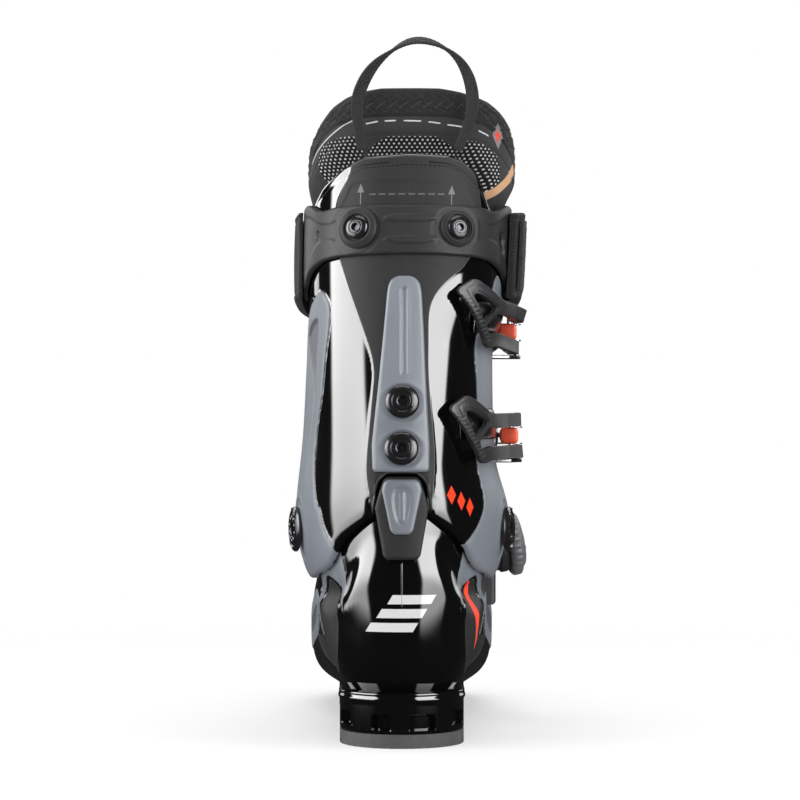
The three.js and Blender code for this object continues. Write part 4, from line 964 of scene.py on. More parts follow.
def shell_body():
    """The lower shell as rings from the toe to the shaft, with the sole blocks as parts of it."""
    v = np.concatenate([[0.02, 0.1, 0.2, 0.32], np.arange(0.45, 4, 0.1), np.arange(4, 17.01, 0.075)])
    u = np.arange(0, 360, 1.5)
    vv, uu = np.meshgrid(v, u, indexing="ij")
    base = shell_point(vv, uu).reshape(-1, 3)
    heel, grey, matte, slots, blade, hollow = shell_fields(base)
    signed_u = np.where(uu > 180, uu - 360, uu).ravel()
    flap_edge = np.array(FLAP_EDGE, float) * [MM_PER_STATION, 1]
    flap = signed_distance(np.stack([vv.ravel() * MM_PER_STATION, signed_u * 0.9], 1), rounded(flap_edge, 2))
    raise_flap = 4.2 * fade(-3.2, 0.2, flap)
    out = raise_flap + 0.9 * fade(-1.1, 0.1, grey) + 0.7 * fade(-1.1, 0.1, blade)
    out = out - 0.7 * fade(-1.6, 0.2, matte) - 0.9 * fade(-1.8, 0.2, hollow)
    out = out - 0.8 * bell(slots, 0.9)
    toe_ribs = np.where((np.abs(signed_u) < 22) & (vv.ravel() < 2.75) & (vv.ravel() > 1.7),
                        0.5 * np.sin(vv.ravel() * 2 * np.pi / 0.26), 0)
    out = out + toe_ribs
    outer = shell_point(vv, uu, -out.reshape(vv.shape))
    walls = pot(outer, shell_point(vv, uu, SHELL_WALL))
    x, y, z = base.T
    rear = y < -95
    stripe = stroke(heel, SIDE_STRIPE) * MM_PER_DEGREE - 3.4 - 2.2 * smoothstep(50, 76, z)
    seam = np.where(rear & (z > 76) & (z < 108), np.abs(x), FAR)
    fields = {
        "grey": np.minimum(grey, blade),
        # matte: its border also gets the painted highlight line in shell_material.
        "matte": np.minimum(matte, flap + 1.6),
        # deep: the sunk hollow, painted a darker grey as shade by shell_material.
        "deep": hollow,
        "red": np.where(x > 0, stripe, FAR),
        # line: distance to the seam, the flap border, the slots and the grey borders; painted dark as shade
        # and bumped as a groove.
        "line": np.minimum.reduce([seam + 0.2, np.abs(flap) * 1.2 + 0.1, slots, np.abs(grey) + 0.1]),
    }
    points, faces = merge(walls, *heel_and_toe_lugs())
    attributes = {key: np.full(len(points), FAR) for key in fields}
    attributes["print"] = np.full((len(points), 3), NOWHERE)
    for key, values in fields.items():
        attributes[key][: len(base)] = values
    attributes["print"][: len(base)] = np.column_stack([np.where(rear, x, NOWHERE), z, -50 + 0 * z])
    piece("lower_shell", (points, faces), shell_plastic, "lower_boot", 42, attributes)


def bezier(p0, p1, p2, p3):
    t = np.linspace(0, 1, 12, endpoint=False)[:, None]
    p0, p1, p2, p3 = (np.array(p, float) for p in (p0, p1, p2, p3))
    return (1 - t) ** 3 * p0 + 3 * (1 - t) ** 2 * t * p1 + 3 * (1 - t) * t**2 * p2 + t**3 * p3


def toe_ring(back):
    w, ball, end = SOLE_HALF_WIDTH, 39, TOE_END
    return np.vstack([
        bezier((ball - 3, back), (ball + 2, back + 30), (ball, 92), (w, 112)),
        bezier((w, 112), (w, 134), (22, end), (0, end)),
        bezier((0, end), (-22, end), (-w, 134), (-w, 112)),
        bezier((-w, 112), (-ball, 92), (-ball - 2, back + 30), (-ball + 3, back)),
        [[-ball + 3, back]],
    ])


def stacked(ring, levels):
    """A capped solid from an outline carried up through (z, grow) levels, growing outwards by `grow`."""
    after = np.roll(ring, -1, 0)
    tangent = unit(after - np.roll(ring, 1, 0))
    normal = np.stack([tangent[:, 1], -tangent[:, 0]], 1)
    area = np.sum(ring[:, 0] * after[:, 1] - after[:, 0] * ring[:, 1])
    normal = normal * np.sign(area)
    return round_solid([np.column_stack([ring + normal * grow, np.full(len(ring), z)]) for z, grow in levels])


def resampled(ring, step):
    p = np.vstack([ring, ring[:1]])
    run = run_along(p)
    at = np.linspace(0, run[-1], int(run[-1] / step), endpoint=False)
    return np.stack([np.interp(at, run, p[:, 0]), np.interp(at, run, p[:, 1])], 1)


def heel_and_toe_lugs():
    """The standard sole blocks: the heel's with windows sunk into it, under a rolled lip."""
    windows = ((-64.5, 12.5), (-19.5, 9.5), (19.5, 13), (64.5, 12.5))
    edges = [m + s * (h - e) for m, h in windows for s in (-1, 1) for e in (0, 1.1)]
    turn = np.array([a for a in np.linspace(-90, 90, 91) if min(abs(a - e) for e in edges) > 0.7] + edges)
    turn = np.sort(turn)
    back = HEEL_END + SOLE_HALF_WIDTH
    round_heel = SOLE_HALF_WIDTH * np.sin(np.radians(turn)), SOLE_HALF_WIDTH * np.cos(np.radians(turn))
    arc = np.stack([round_heel[0], back - round_heel[1]], 1)
    flank = np.linspace(-62, back, 30, endpoint=False)
    side = np.full(len(flank), SOLE_HALF_WIDTH)
    ring = np.vstack([np.stack([-side, flank], 1), arc, np.stack([side, flank], 1)[::-1]])
    normal = np.vstack([np.stack([-side, 0 * side], 1), arc - [0, back], np.stack([side, 0 * side], 1)])
    normal = normal / SOLE_HALF_WIDTH
    angle = np.concatenate([np.full(len(flank), -99.0), turn, np.full(len(flank), 99.0)])
    levels = np.concatenate([
        [HEEL_PAD + 0.35, HEEL_PAD + 1.1, 9.6, 10.4, 10.9, 11.4], np.arange(12, 18.1, 1.0),
        [18.6, 19.1, 19.8, 20.6, 21.5, 23, 24.4, 25.2, 25.8, 26.4, 27, 27.6, 28.2, 28.8, 29.3, 29.7,
         HEEL_LEDGE],
    ])
    rings = []
    for z in levels:
        belly = 0.9 * math.sin(min(max((z - 24.6) / 3.4, 0), 1) * math.pi)
        grow = belly + 0.5 * math.sin(max((z - 28) / 2, 0) * math.pi)
        grow = -1.2 if z > 29.9 else (-0.5 if z < HEEL_PAD + 0.4 else grow)
        sunk = np.zeros(len(ring))
        for middle, half in windows:
            side_on = abs(middle) > 40
            low, high = (11.4, 19.1) if side_on else (9.6, 18.1)
            deep = np.clip((half - np.abs(angle - middle)) / 1.1, 0, 1)
            deep = deep * np.clip(min(z - low, high - z) / 0.5, 0, 1)
            sunk = np.maximum(sunk, (3.4 if side_on else 4.2) * deep)
        rings.append(np.column_stack([ring + normal * (grow - sunk)[:, None], np.full(len(ring), z)]))
    toe_levels = [(TOE_PAD + 0.3, -0.5), (TOE_PAD + 0.9, 0), (15.5, 0), (17, 0.7), (18.2, 0.6), (18.8, -0.2),
                  (TOE_LEDGE, -1.2)]
    return round_solid(rings), stacked(resampled(toe_ring(44), 2.0), toe_levels)


shell_body()


# ------------------------------------------------------------------ rear spine
def rear_plate(name, heights, left, right, columns_across, base, height, material, body):
    """A plate on the cuff's rear from left(z) to right(z), height(x, z, d) over the cuff d inside its rim."""
    z = np.asarray(heights, float)
    lo, hi = left(z), right(z)
    share = even(0, 1, 1 / columns_across, 0.16)
    x = lo[:, None] + (hi - lo)[:, None] * share
    zz = columns(z, share)
    flat, rim = flat_and_rim(x, zz)
    top = height(flat[:, 0], flat[:, 1], np.abs(signed_distance(flat, rim))).reshape(x.shape)
    piece(name, sheet(rear_point(x, zz, top), rear_point(x, zz, base)), material, body, 60)


def spine():
    left = polyline([[150.5, -14.4], [151.6, -15.8], [165, -16.3], [178, -15], [202, -12.4], [230, -9.8],
                     [250, -8], [254.5, -7.2], [257, -5.9], [258.6, -3.6], [259.2, -1.4]])
    right = polyline([[150.5, 13.2], [151.6, 14.6], [165, 14.9], [178, 14.2], [202, 13], [230, 12], [250, 11],
                      [254.5, 10.2], [257, 8.7], [258.6, 6.6], [259.2, 4.4]])

    def height(x, z, d):
        h = 2.9 - crowned(d, 1.6, 1.7)
        channel = stroke(np.stack([x, z], 1), [[1.3, 205], [1.3, 251]])
        h = h - 1.25 * fade(1.1, 2.0, channel) + 0.25 * bell(channel - 2.6, 0.6)
        for bolt in SPINE_BOLTS:
            ring = np.hypot(x - (bolt - 170) * 0.02, z - bolt)
            h = h - 0.55 * fade(9.9, 10.5, ring) + 0.3 * bell(ring - 11.5, 0.8)
        return h

    rear_plate("spine_plate", even(150.5, 259.2, 0.75, 3), left, right, 34, 0.2, height, grey_plastic,
               "upper_boot")

    half = polyline([[102.6, 8.2], [103.6, 9.6], [105, 10.6], [130.5, 15.2], [138, 13.2], [146, 10.4],
                     [147.2, 9], [147.8, 7.4]])

    def plate_height(x, z, d):
        return 0.4 - crowned(d, 1.5, 1.4) + bell(d - 1.9, 0.5) * 0.3

    rear_plate("heel_spine_plate", even(102.6, 147.8, 0.8, 2), lambda z: -half(z), half, 30, -5.6,
               plate_height, matte_plastic, "lower_boot")

    tab = polyline([[116.4, 3.6], [117.2, 5], [118.6, 6.2], [140, 10.8], [144, 10], [145.6, 8.8],
                    [146.4, 7.2]])

    def tab_height(x, z, d):
        h = 2.1 - crowned(d, 1.5, 1.3)
        flat = np.stack([x, z], 1)
        pit = signed_distance(flat, rounded([[-6.4, 143], [-4.0, 121.5], [4.0, 121.5], [6.4, 143]], 2))
        ridge = stroke(flat, [[0, 124.5], [0, 138.5]])
        h = h - 1.0 * fade(-1.8, 0.3, pit)
        return h + 0.75 * fade(0.7, 1.7, ridge) - 0.25 * fade(0.1, 0.6, ridge)

    rear_plate("heel_spine_tab", even(116.4, 146.4, 0.7, 2), lambda z: -tab(z), tab, 26, 0.2, tab_height,
               tab_plastic, "lower_boot")


spine()


def socket_profile(radius, depth):
    """A domed screw head with a rim and a socket: rows of [radius, height]."""
    r = radius
    return [[0, 0], [r - 0.4, 0], [r, 0.4], [r, depth * 0.45], [r * 0.95, depth * 0.62],
            [r * 0.84, depth * 0.8],
            [r * 0.66, depth * 0.9], [r * 0.6, depth * 0.8], [r * 0.54, depth * 0.8], [r * 0.5, depth * 0.93],
            [r * 0.4, depth], [r * 0.34, depth * 0.96]]


def hex_socket(radius, top, floor, centre, axis):
    """The inner walls of a hexagon socket that close a turned head."""
    axis = unit(axis)
    side = unit(np.cross(axis, [0, 0, 1]))
    up = np.cross(axis, side)
    angle = np.radians(np.arange(24) * 15.0)
    apothem = np.cos(np.pi / 6) / np.cos((np.arange(24) * np.pi / 12) % (np.pi / 3) - np.pi / 6)
    ring = (np.cos(angle) * apothem)[:, None] * side + (np.sin(angle) * apothem)[:, None] * up
    circle = np.cos(angle)[:, None] * side + np.sin(angle)[:, None] * up
    centre = np.asarray(centre, float)
    rows = [centre + axis * top + circle * radius, centre + axis * (top - 0.15) + ring * radius * 0.93,
            centre + axis * floor + ring * radius * 0.93]
    points, faces = round_solid(rows, False)
    return points, faces + [tuple(k * 3 + 2 for k in range(24))]


def fasteners():
    for bolt, label in zip(SPINE_BOLTS, ("upper", "lower")):
        x = (bolt - 170) * 0.02
        n = rear_normal(x, bolt)
        seat = rear_point(x, bolt) + n * 2.9
        head = turned(socket_profile(9.3, 3.7), seat, n, 64)
        hexagon = hex_socket(3.16, 3.55, 1.2, seat, n)
        shank = turned([[0, -9.3], [4, -9.3], [4, 0.3], [0, 0.3]], seat, n, 24)
        piece(f"spine_bolt_{label}", merge(head, hexagon, shank), bolt_metal, "upper_boot", 32)
    for x, label in zip(STRAP_SCREWS, ("medial", "lateral")):
        n = rear_normal(x, STRAP_SCREW_Z)
        seat = rear_point(x, STRAP_SCREW_Z) + n * 3.3
        outer = 11.6 if label == "medial" else 10.4
        washer = turned([[3.1, 0], [outer - 0.5, 0], [outer, 0.5], [outer - 0.5, 1.2], [outer - 2, 1.9],
                         [8.6, 2.4], [7.9, 2.2], [7.4, 1.2], [3.1, 1.0], [3.1, 0]], seat, n, 64)
        piece(f"strap_washer_{label}", washer, matte_plastic, "upper_boot", 32)
        head = turned([[r, h + 1.3] for r, h in socket_profile(6.6, 2.6)], seat, n, 56)
        hexagon = hex_socket(2.25, 3.8, 2.0, seat, n)
        shank = turned([[0, -8.6], [2.5, -8.6], [2.5, 1.6], [0, 1.6]], seat, n, 20)
        piece(f"strap_screw_{label}", merge(head, hexagon, shank), bolt_metal, "upper_boot", 32)
    tilt = math.radians(CANTING_TILT)
    for side, sign in (("medial", -1), ("lateral", 1)):
        axis = np.array([sign * math.cos(tilt), -math.sin(tilt), 0])
        seat = np.array([sign * 59.9, PIVOT_Y, PIVOT_Z])
        profile = [[0, 0], [12.4, 0], [12.9, 0.5], [12.9, 1.6], [12.3, 2.3], [11.2, 2.9], [10.6, 3.1],
                   [10.0, 2.6],
                   [9.4, 2.5], [8.9, 2.9], [4.6, 3.2], [4.2, 2.9], [4.0, 1.6], [2.3, 1.6], [0, 1.6]]
        disc = turned(profile, seat, axis, 72)
        ahead = unit(np.cross(axis, [0, 0, 1]))
        up = np.cross(ahead, axis)
        pegs = []
        for k in range(10):
            a = math.radians(36 * k + 18)
            spot = seat + (ahead * math.cos(a) + up * math.sin(a)) * 6.8 + axis * 2.6
            pegs.append(turned([[0, 0], [1.3, 0], [1.3, 0.75], [0.9, 1.0], [0, 1.0]], spot, axis, 6))
        pointer = turned([[0, 0], [1.1, 0], [1.1, 0.9], [0, 0.9]], seat + up * 11.2 + axis * 2.6, axis, 12)
        shape = merge(disc, pointer, *pegs)
        piece(f"{side}_canting_disc", shape, bolt_metal, f"{side}_disc", 32)


fasteners()


# ------------------------------------------------------------------ power strap
YOKE_TOP = polyline([[0, 299.2], [20, 299.5], [34, 299], [42, 297.2], [47, 297.6], [58, 301.5], [66, 302],
                     [76, 301.5], [98, 297]])
YOKE_BOTTOM = polyline([[0, 271.8], [17, 271.3], [31, 270.3], [42, 268.5], [50, 265.5], [58, 262], [66, 257],
                        [78, 251.5], [98, 248]])


def yoke():
    psis = even(-98, 98, 0.8, 2.0)
    low, high = YOKE_BOTTOM(np.abs(psis)), YOKE_TOP(np.abs(psis))
    share = even(0, 30, 0.65, 2.4) / 30
    psi = columns(psis, share)
    z = low[:, None] + (high - low)[:, None] * share
    flat, rim = flat_and_rim(arc_of(psi, z), z)
    to_rim = np.abs(signed_distance(flat, rim))
    off = 3.1 - crowned(to_rim, 1.5, 1.6)
    for z0, z1, a, b in ((289.6, 294.4, -16.5, -18.5), (277.2, 282.2, -18.5, -16.5)):
        bar = signed_distance(flat,
                              rounded([[b + 4.5, z0], [-b - 1.5, z0], [-a - 1.5, z1], [a + 4.5, z1]], 1))
        off = off + 0.75 * fade(-1.0, 0.2, bar)
    for x, radius in ((-29.3, 13.4), (26.3, 11.6)):
        ring = np.hypot(flat[:, 0] - x, flat[:, 1] - STRAP_SCREW_Z)
        off = off - 0.45 * bell(ring - radius - 0.8, 0.6) - 0.35 * fade(radius - 1, radius, ring)
    for sign in (-1, 1):
        side = np.stack([flat[:, 0] * sign, flat[:, 1]], 1)
        wave = rounded([[41, 292], [46, 289.5], [56, 290], [68, 295], [82, 296]], 2, False)
        wave_low = rounded([[41, 279], [47, 281], [58, 279], [70, 270], [82, 262]], 2, False)
        band = signed_distance(side, np.vstack([wave, wave_low[::-1]]))
        off = off - 0.5 * fade(-0.9, 0.2, band)
    hole = np.hypot((flat[:, 0] + 58.5) / 1.7, (flat[:, 1] - 283.2) / 2.6) - 1
    window = signed_distance(flat,
                             rounded([[61, 285], [70, 285], [71, 270.5], [68.5, 271], [62.5, 279.5]], 1))
    cut = np.minimum(hole * 2, window)
    off = np.where(cut < 0.35, 0.75 + (off - 0.75) * smoothstep(-0.2, 0.35, cut), off)
    stitches = np.abs(np.abs(flat[:, 0]) - 83.5) + 0.9 * (np.sin(flat[:, 1] * 2.6) > 0)
    stitches = np.where(np.abs(flat[:, 1] - 277) < 24, stitches, FAR)
    off = off - 0.35 * bell(stitches, 0.45)
    outer = cuff_point(psi, z, off.reshape(psi.shape))
    line = np.minimum(np.where(cut < 0.1, 0.0, FAR), stitches + 0.2)
    piece("strap_yoke", sheet(outer, cuff_point(psi, z, 0.55)), yoke_plastic, "upper_boot", 55,
          {"line": outside_only(line)})


def lined_plastic():
    s = Shader("yoke_plastic")
    tone = s.step(s.noise(12, 4), 0.3, 0.7)
    base = s.mix(tone, (0.022, 0.022, 0.0225), (0.027, 0.027, 0.0275))
    base = s.mix(s.wear(0.22), base, (0.13, 0.13, 0.134))
    base = s.mix(s.step(s.attribute("line"), 0.5, 0.1), base, (0.006, 0.006, 0.006))
    rough = s.plus(0.46, s.uneven(35, 3, 0.12))
    return s.done(Base_Color=base, Roughness=rough, Normal=s.bump(s.noise(1500, 2), 0.04),
                  Specular_IOR_Level=0.2)


yoke_plastic = lined_plastic()
yoke()


# The strap's ends are angles round the cuff; STRAP_ARC is millimetres to a degree.
STRAP_WIDTH, STRAP_TAIL, STRAP_END, STRAP_ARC = 49, -298, -72, 0.98
STRAP_LIFT, STRAP_THICKNESS, TAIL_LIFT, PATCH_WIDTH = 3.9, 2.5, 4.4, 40


def strap():
    psis = even(STRAP_TAIL, STRAP_END, 1.4, 2.0)
    top_line = polyline([[60, 297], [80, 299], [110, 293], [140, 285], [180, 279]])
    top = top_line(np.where(psis < -180, 360 + psis, -psis))
    share = even(0, STRAP_WIDTH, 0.9, 2.2) / STRAP_WIDTH
    psi = columns(psis, share)
    z = top[:, None] - STRAP_WIDTH + STRAP_WIDTH * share
    inner = STRAP_LIFT + 2.2 * fade(-140, -96, psi) - 2.2 * fade(-262, -225, psi)
    tail = fade(-252, -236, psi) * (1 - 0.5 * fade(-296, -288, psi))
    from_edge = np.minimum(share, 1 - share) * STRAP_WIDTH
    length = np.minimum(psi - STRAP_TAIL, STRAP_END - psi) * STRAP_ARC
    d = np.minimum(from_edge, length)
    prouder = 1.9 * fade(-92, -78, psi) * smoothstep(-150, -118, psi)
    off = inner + STRAP_THICKNESS + prouder + TAIL_LIFT * tail - crowned(d, 1.3, 1.7)
    off = off - 0.45 * bell(from_edge - 3.4, 0.7) + 0.3 * bell(from_edge - 1.5, 0.9)
    off = off + 0.5 * np.sin(psi * 0.11) * np.sin(share * 3.2)
    piece("power_strap", sheet(cuff_point(psi, z, off), cuff_point(psi, z, inner)), strap_webbing,
          "upper_boot", 60, threads(psi * STRAP_ARC, z))
    pad_psis = even(-296, -240, 1.2, 1.5)
    share = even(0, PATCH_WIDTH, 0.9, 1.5) / PATCH_WIDTH
    psi = columns(pad_psis, share)
    top = top_line(np.where(pad_psis < -180, 360 + pad_psis, -pad_psis))
    z = top[:, None] - 44.5 + PATCH_WIDTH * share
    fuzz = 0.25 * np.sin(psi * 7.7) * np.sin(z * 3.1) + 0.18 * np.sin(psi * 3.3 + z * 2.3)
    d = np.minimum(np.minimum(share, 1 - share) * PATCH_WIDTH, np.minimum(psi + 296, -240 - psi))
    base = STRAP_LIFT + STRAP_THICKNESS + TAIL_LIFT
    outer = cuff_point(psi, z, base + 0.9 + fuzz - crowned(d, 1.1, 0.9))
    piece("strap_hook_patch", sheet(outer, cuff_point(psi, z, base - 1.2)), hook_pile, "upper_boot",
          70,
          threads(psi * STRAP_ARC, z), extra=True)


hook_pile = woven("hook_pile", (0.004, 0.004, 0.0045), (0.05, 0.05, 0.052), 0.9, 0.9, 0.5, sheen=0.25)
strap()


# ------------------------------------------------------------------ buckles
LEVER_REACH, BASE_WIDTH, LADDER_WIDTH = 79.0, 22, 9.6
UPPER = {"z": 229.5, "pivot": (67, -40), "cross": (62.4, -53), "tip": 32.5, "climb": 0.09, "drop": 18}
LOWER = {"z": 169.5, "pivot": (67.5, -47), "cross": (63, -60), "tip": 25.5, "climb": 0.0, "drop": 2}
LEVER_EDGE = [
    [-3.6, 5.6], [14, 5.4], [45, 5.4], [57.5, 4.8], [66.0, -2.6], [64.2, -7.6], [57, -5.4], [45, -5.4],
    [14, -5.4], [-3.6, -5.6], [-3.6, -13], [14, -13], [56, -13], [63.5, -15], [66, -13.5], [79, 14.5],
    [78.5, 17], [71.5, 23], [69.5, 22.8], [56, 14], [50, 13], [14, 13], [-3.6, 13],
]
LEVER_WINDOW = [[73, 14.2], [69.5, 15], [58.5, 8.4], [60, 6.4], [68.3, -0.6]]


def eased_corners(ring, reach, count=4):
    """Replaces each corner of an outline with a short curve."""
    ring = np.array(ring, float)
    out = []
    for a, b, c in zip(np.roll(ring, 1, 0), ring, np.roll(ring, -1, 0)):
        p = b + unit(a - b) * min(reach, np.linalg.norm(a - b) * 0.45)
        q = b + unit(c - b) * min(reach, np.linalg.norm(c - b) * 0.45)
        for t in np.linspace(0, 1, count):
            out.append((1 - t) ** 2 * p + 2 * (1 - t) * t * b + t * t * q)
    return np.array(out)


def serrated_edge():
    """The lever's outline with finger serrations along its slanting tip."""
    ring = []
    for a, b in zip(LEVER_EDGE, LEVER_EDGE[1:] + LEVER_EDGE[:1]):
        ring.append(np.array(a, float))
        if a == [66, -13.5]:
            a, b = np.array(a, float), np.array(b, float)
            n = unit(np.array([b[1] - a[1], a[0] - b[0]]))
            for k in range(1, 26):
                depth = 0.0 if k % 2 else 0.4
                ring.append(a + (b - a) * k / 26 - n * depth)
    return np.array(ring)


def buckle(name, spec):
    """One buckle, in the order lever, cross pin, base, barrel, bail and ladder."""
    z0 = spec["z"]
    pivot = np.array([*spec["pivot"], z0])
    cross = np.array([*spec["cross"], z0])
    tip = rear_point(spec["tip"], z0 + 16, 6)
    tip = np.array([tip[0], tip[1], z0])
    back = unit((tip - pivot) * [1, 1, 0])
    out = unit(np.cross(back, [0, 0, -1]))
    if out[0] < 0:
        out = -out
    scale = np.linalg.norm(tip - pivot) / LEVER_REACH
    _, _, _, mid, centre, _ = cuff_section(z0)
    psi_of = lambda p: math.degrees(math.atan2(p[0] - centre, -(p[1] - mid)))
    pivot_psi, tip_psi = psi_of(pivot), psi_of(tip)
    away = float(slimming(z0)) * 0.9
    low = polyline([[tip_psi - 12, 5.4], [pivot_psi - 22, 5.0 + away * 0.5], [pivot_psi - 11, 5.4 + away],
                    [pivot_psi, 6.2 + away], [pivot_psi + 2.2, 6.9 + away], [pivot_psi + 3.6, 8.6 + away]])
    high = polyline([[tip_psi - 12, 8], [pivot_psi - 34, 9.4 + away * 0.3], [pivot_psi - 12, 12.0 + away],
                     [pivot_psi - 3, 12.8 + away], [pivot_psi + 0.5, 12.2 + away],
                     [pivot_psi + 2.4, 11 + away], [pivot_psi + 3.6, 9.4 + away]])
    # A point of the flat outline goes to where the straight line across the lever meets the cuff's band.
    grid_psi = np.linspace(tip_psi - 10, pivot_psi + 7, 160)

    def bent(points):
        t = points[:, 0] * scale
        z = z0 + points[:, 1] + spec["climb"] * np.maximum(0, points[:, 0] - 14)
        share = points[:, 2] / 2 + 0.5
        result = np.zeros((len(points), 3))
        band = cuff_point(grid_psi[None], np.linspace(z0 - 20, z0 + 34, 28)[:, None], 0)
        along = ((band - pivot) * back).sum(-1)
        for k in range(len(points)):
            row = int(round((z[k] - z0 + 20) / 2))
            row = min(max(row, 0), 27)
            psi = np.interp(t[k], along[row][::-1], grid_psi[::-1])
            result[k] = psi, z[k], low(psi) + (high(psi) - low(psi)) * share[k]
        psi, z, off = result.T
        return cuff_point(psi, z, off)

    edge = serrated_edge()
    cuts = np.concatenate([np.arange(-3.2, 3, 0.8), np.arange(4.4, 79, 2.4)])
    ring = eased_corners(edge, 1.1, 3)
    window = eased_corners(LEVER_WINDOW, 1.6, 4)
    points, faces = flat_plate(ring, [window], 2.0, 0.28, cuts, 2)
    lever = (bent(points), faces)
    # A raised frame round the window, and cushions on both arms.
    frame_ring = eased_corners([[76.0, 16.6], [70.8, 20.6], [56.5, 11.4], [57.0, 6.4], [67.8, -3.6]], 1.4, 3)
    inner_ring = eased_corners([[74.0, 14.8], [69.9, 16.8], [57.8, 8.9], [59.4, 6.2], [68.2, -1.6]], 1.4, 3)
    rib_points, rib_faces = flat_plate(frame_ring, [inner_ring], 0.4, 0.12, cuts, 1)
    rib = (bent(rib_points + [0, 0, 1.12]), rib_faces)
    arms = []
    start, end = np.array([65.4, -12.4]), np.array([77.2, 13.0])
    run = unit(end - start)
    side = np.array([-run[1], run[0]])
    for k in range(12):
        middle = start + run * (1.2 + 2.3 * k) + side * 1.0
        spots = ((-0.6, -1.3), (0.6, -1.3), (0.6, 1.35), (-0.6, 1.35))
        corners = [middle + run * a + side * b for a, b in spots]
        p, f = flat_plate(np.array(corners), [], 0.44, 0.1, (), 1)
        arms.append((bent(p + [0, 0, 1.15]), f))
    piece(f"{name}_buckle_lever", merge(lever, rib, *arms), black_alloy, f"{name}_lever", 38)
    up = np.array([0, 0, 1.0])
    pin = turned([[0, 0], [1.1, 0], [1.4, 0.3], [1.4, 24.9], [1.1, 25.2], [0, 25.2]], cross - up * 12.6, up,
                 24)
    piece(f"{name}_buckle_cross_pin", pin, bright_steel, f"{name}_lever", 35)

    # Base plate with two ears and the trunnions.
    psis = even(pivot_psi - 17, pivot_psi + 13, 1.2, 1.4)
    share = even(0, BASE_WIDTH, 1.2, 1.6) / BASE_WIDTH
    psi = columns(psis, share)
    z = z0 - BASE_WIDTH / 2 + BASE_WIDTH * share[None]
    d = from_border(psis, share, 0.95, BASE_WIDTH)
    base = sheet(cuff_point(psi, z, 1.5 - crowned(d, 0.9, 0.8)), cuff_point(psi, z, 0.3))
    foot = cuff_point(pivot_psi, z0, 1)
    arc = np.radians(np.linspace(-90, 90, 12))
    ear = np.vstack([[[foot[0], foot[1] - 7], [pivot[0] - 1, pivot[1] - 3.2]],
                     np.stack([pivot[0] + 2.8 * np.cos(arc), pivot[1] + 2.8 * np.sin(arc)], 1),
                     [[foot[0], foot[1] + 8]]])
    parts = [base]
    for h in (4.7, -4.7):
        p, f = flat_plate(ear, [], 0.9, 0.2)
        parts.append((p + [0, 0, z0 + h], f))
    flange = np.array([[foot[0] - 3, foot[1] - 17], [pivot[0] - 4, pivot[1] - 15],
                       [pivot[0] + 2.4, pivot[1] - 4.2],
                       [pivot[0] + 2.4, pivot[1] + 2], [pivot[0] - 1, pivot[1] + 4],
                       [foot[0] - 3, foot[1] + 8]])
    p, f = flat_plate(eased_corners(flange, 2, 4), [], 2.2, 0.5)
    parts.append((p + [0, 0, z0 - 14.5], f))
    # A sprung catch plate that shows through the lever's window.
    psis = even(tip_psi + 7, pivot_psi - 20, 1.2, 1.2)
    psi = columns(psis, share)
    narrow = smoothstep(-34, -20, psi - pivot_psi)
    z = z0 + 3.5 + 3.5 * (1 - narrow) + (share[None] - 0.5) * (17 - 7 * narrow)
    d = from_border(psis, share, 0.95, 13)
    hump = np.sin(np.pi * (psi - psis[0]) / (psis[-1] - psis[0]))
    lift = 1.3 + 2.0 * hump * np.sin(np.pi * share[None])
    parts.append(sheet(cuff_point(psi, z, lift + 1.0 - crowned(d, 0.8, 0.6)), cuff_point(psi, z, lift)))
    for a, b in ((4.5, 13.2), (-13.9, -4.5)):
        parts.append(turned([[0, a], [1.4, a], [1.6, a + 0.2], [1.6, b - 0.2], [1.4, b], [0, b]], pivot, up,
                            24))
    rivet = cuff_point(pivot_psi - 12, z0, 1.4)
    outward = rivet - cuff_point(pivot_psi - 12, z0, 0)
    parts.append(turned([[0, -0.4], [3, -0.4], [2.8, 0.6], [1.8, 1.1], [0, 1.2]], rivet, outward, 28))
    piece(f"{name}_buckle_base", merge(*parts), hinge_steel, "upper_boot", 35)

    # The red barrel, with finger grooves round it, on its threaded rod.
    rows = []
    ys = even(-4.6, 17.4, 0.7, 1.2)
    for y in ys:
        d = min(y + 4.6, 17.4 - y)
        pull = float(crowned(np.array(d), 1.5, 1.3))
        groove = 0.35 * math.exp(-(((y - 3.5) % 3.4 - 1.7) / 0.5) ** 2) if 3 < y < 15 else 0
        angle = np.linspace(0, 2 * np.pi, 40, endpoint=False)
        c, s = np.cos(angle), np.sin(angle)
        power = 2 / 4.6
        a, b = 5.1 - pull - groove, 3.95 + 0.8 * float(smoothstep(7, 4, y)) - pull - groove
        across, high = np.sign(c) * np.abs(c) ** power, np.sign(s) * np.abs(s) ** power
        rows.append(np.column_stack([cross[0] - 0.9 + a * across, np.full(40, cross[1] + y), z0 + b * high]))
    piece(f"{name}_buckle_barrel", round_solid(rows), red_plastic, f"{name}_barrel", 50)

    # The bail and its wire loop.
    nose = cross[0] - 1.6
    height = lambda psi: z0 - spec["drop"] * smoothstep(pivot_psi + 4, 186, psi)
    stand = lambda psi: 5.4 + 6 * smoothstep(118, 165, psi)

    def wire(psi, dz):
        p = cuff_point(psi, height(psi), stand(psi))
        return p + np.array([0, 0, dz])

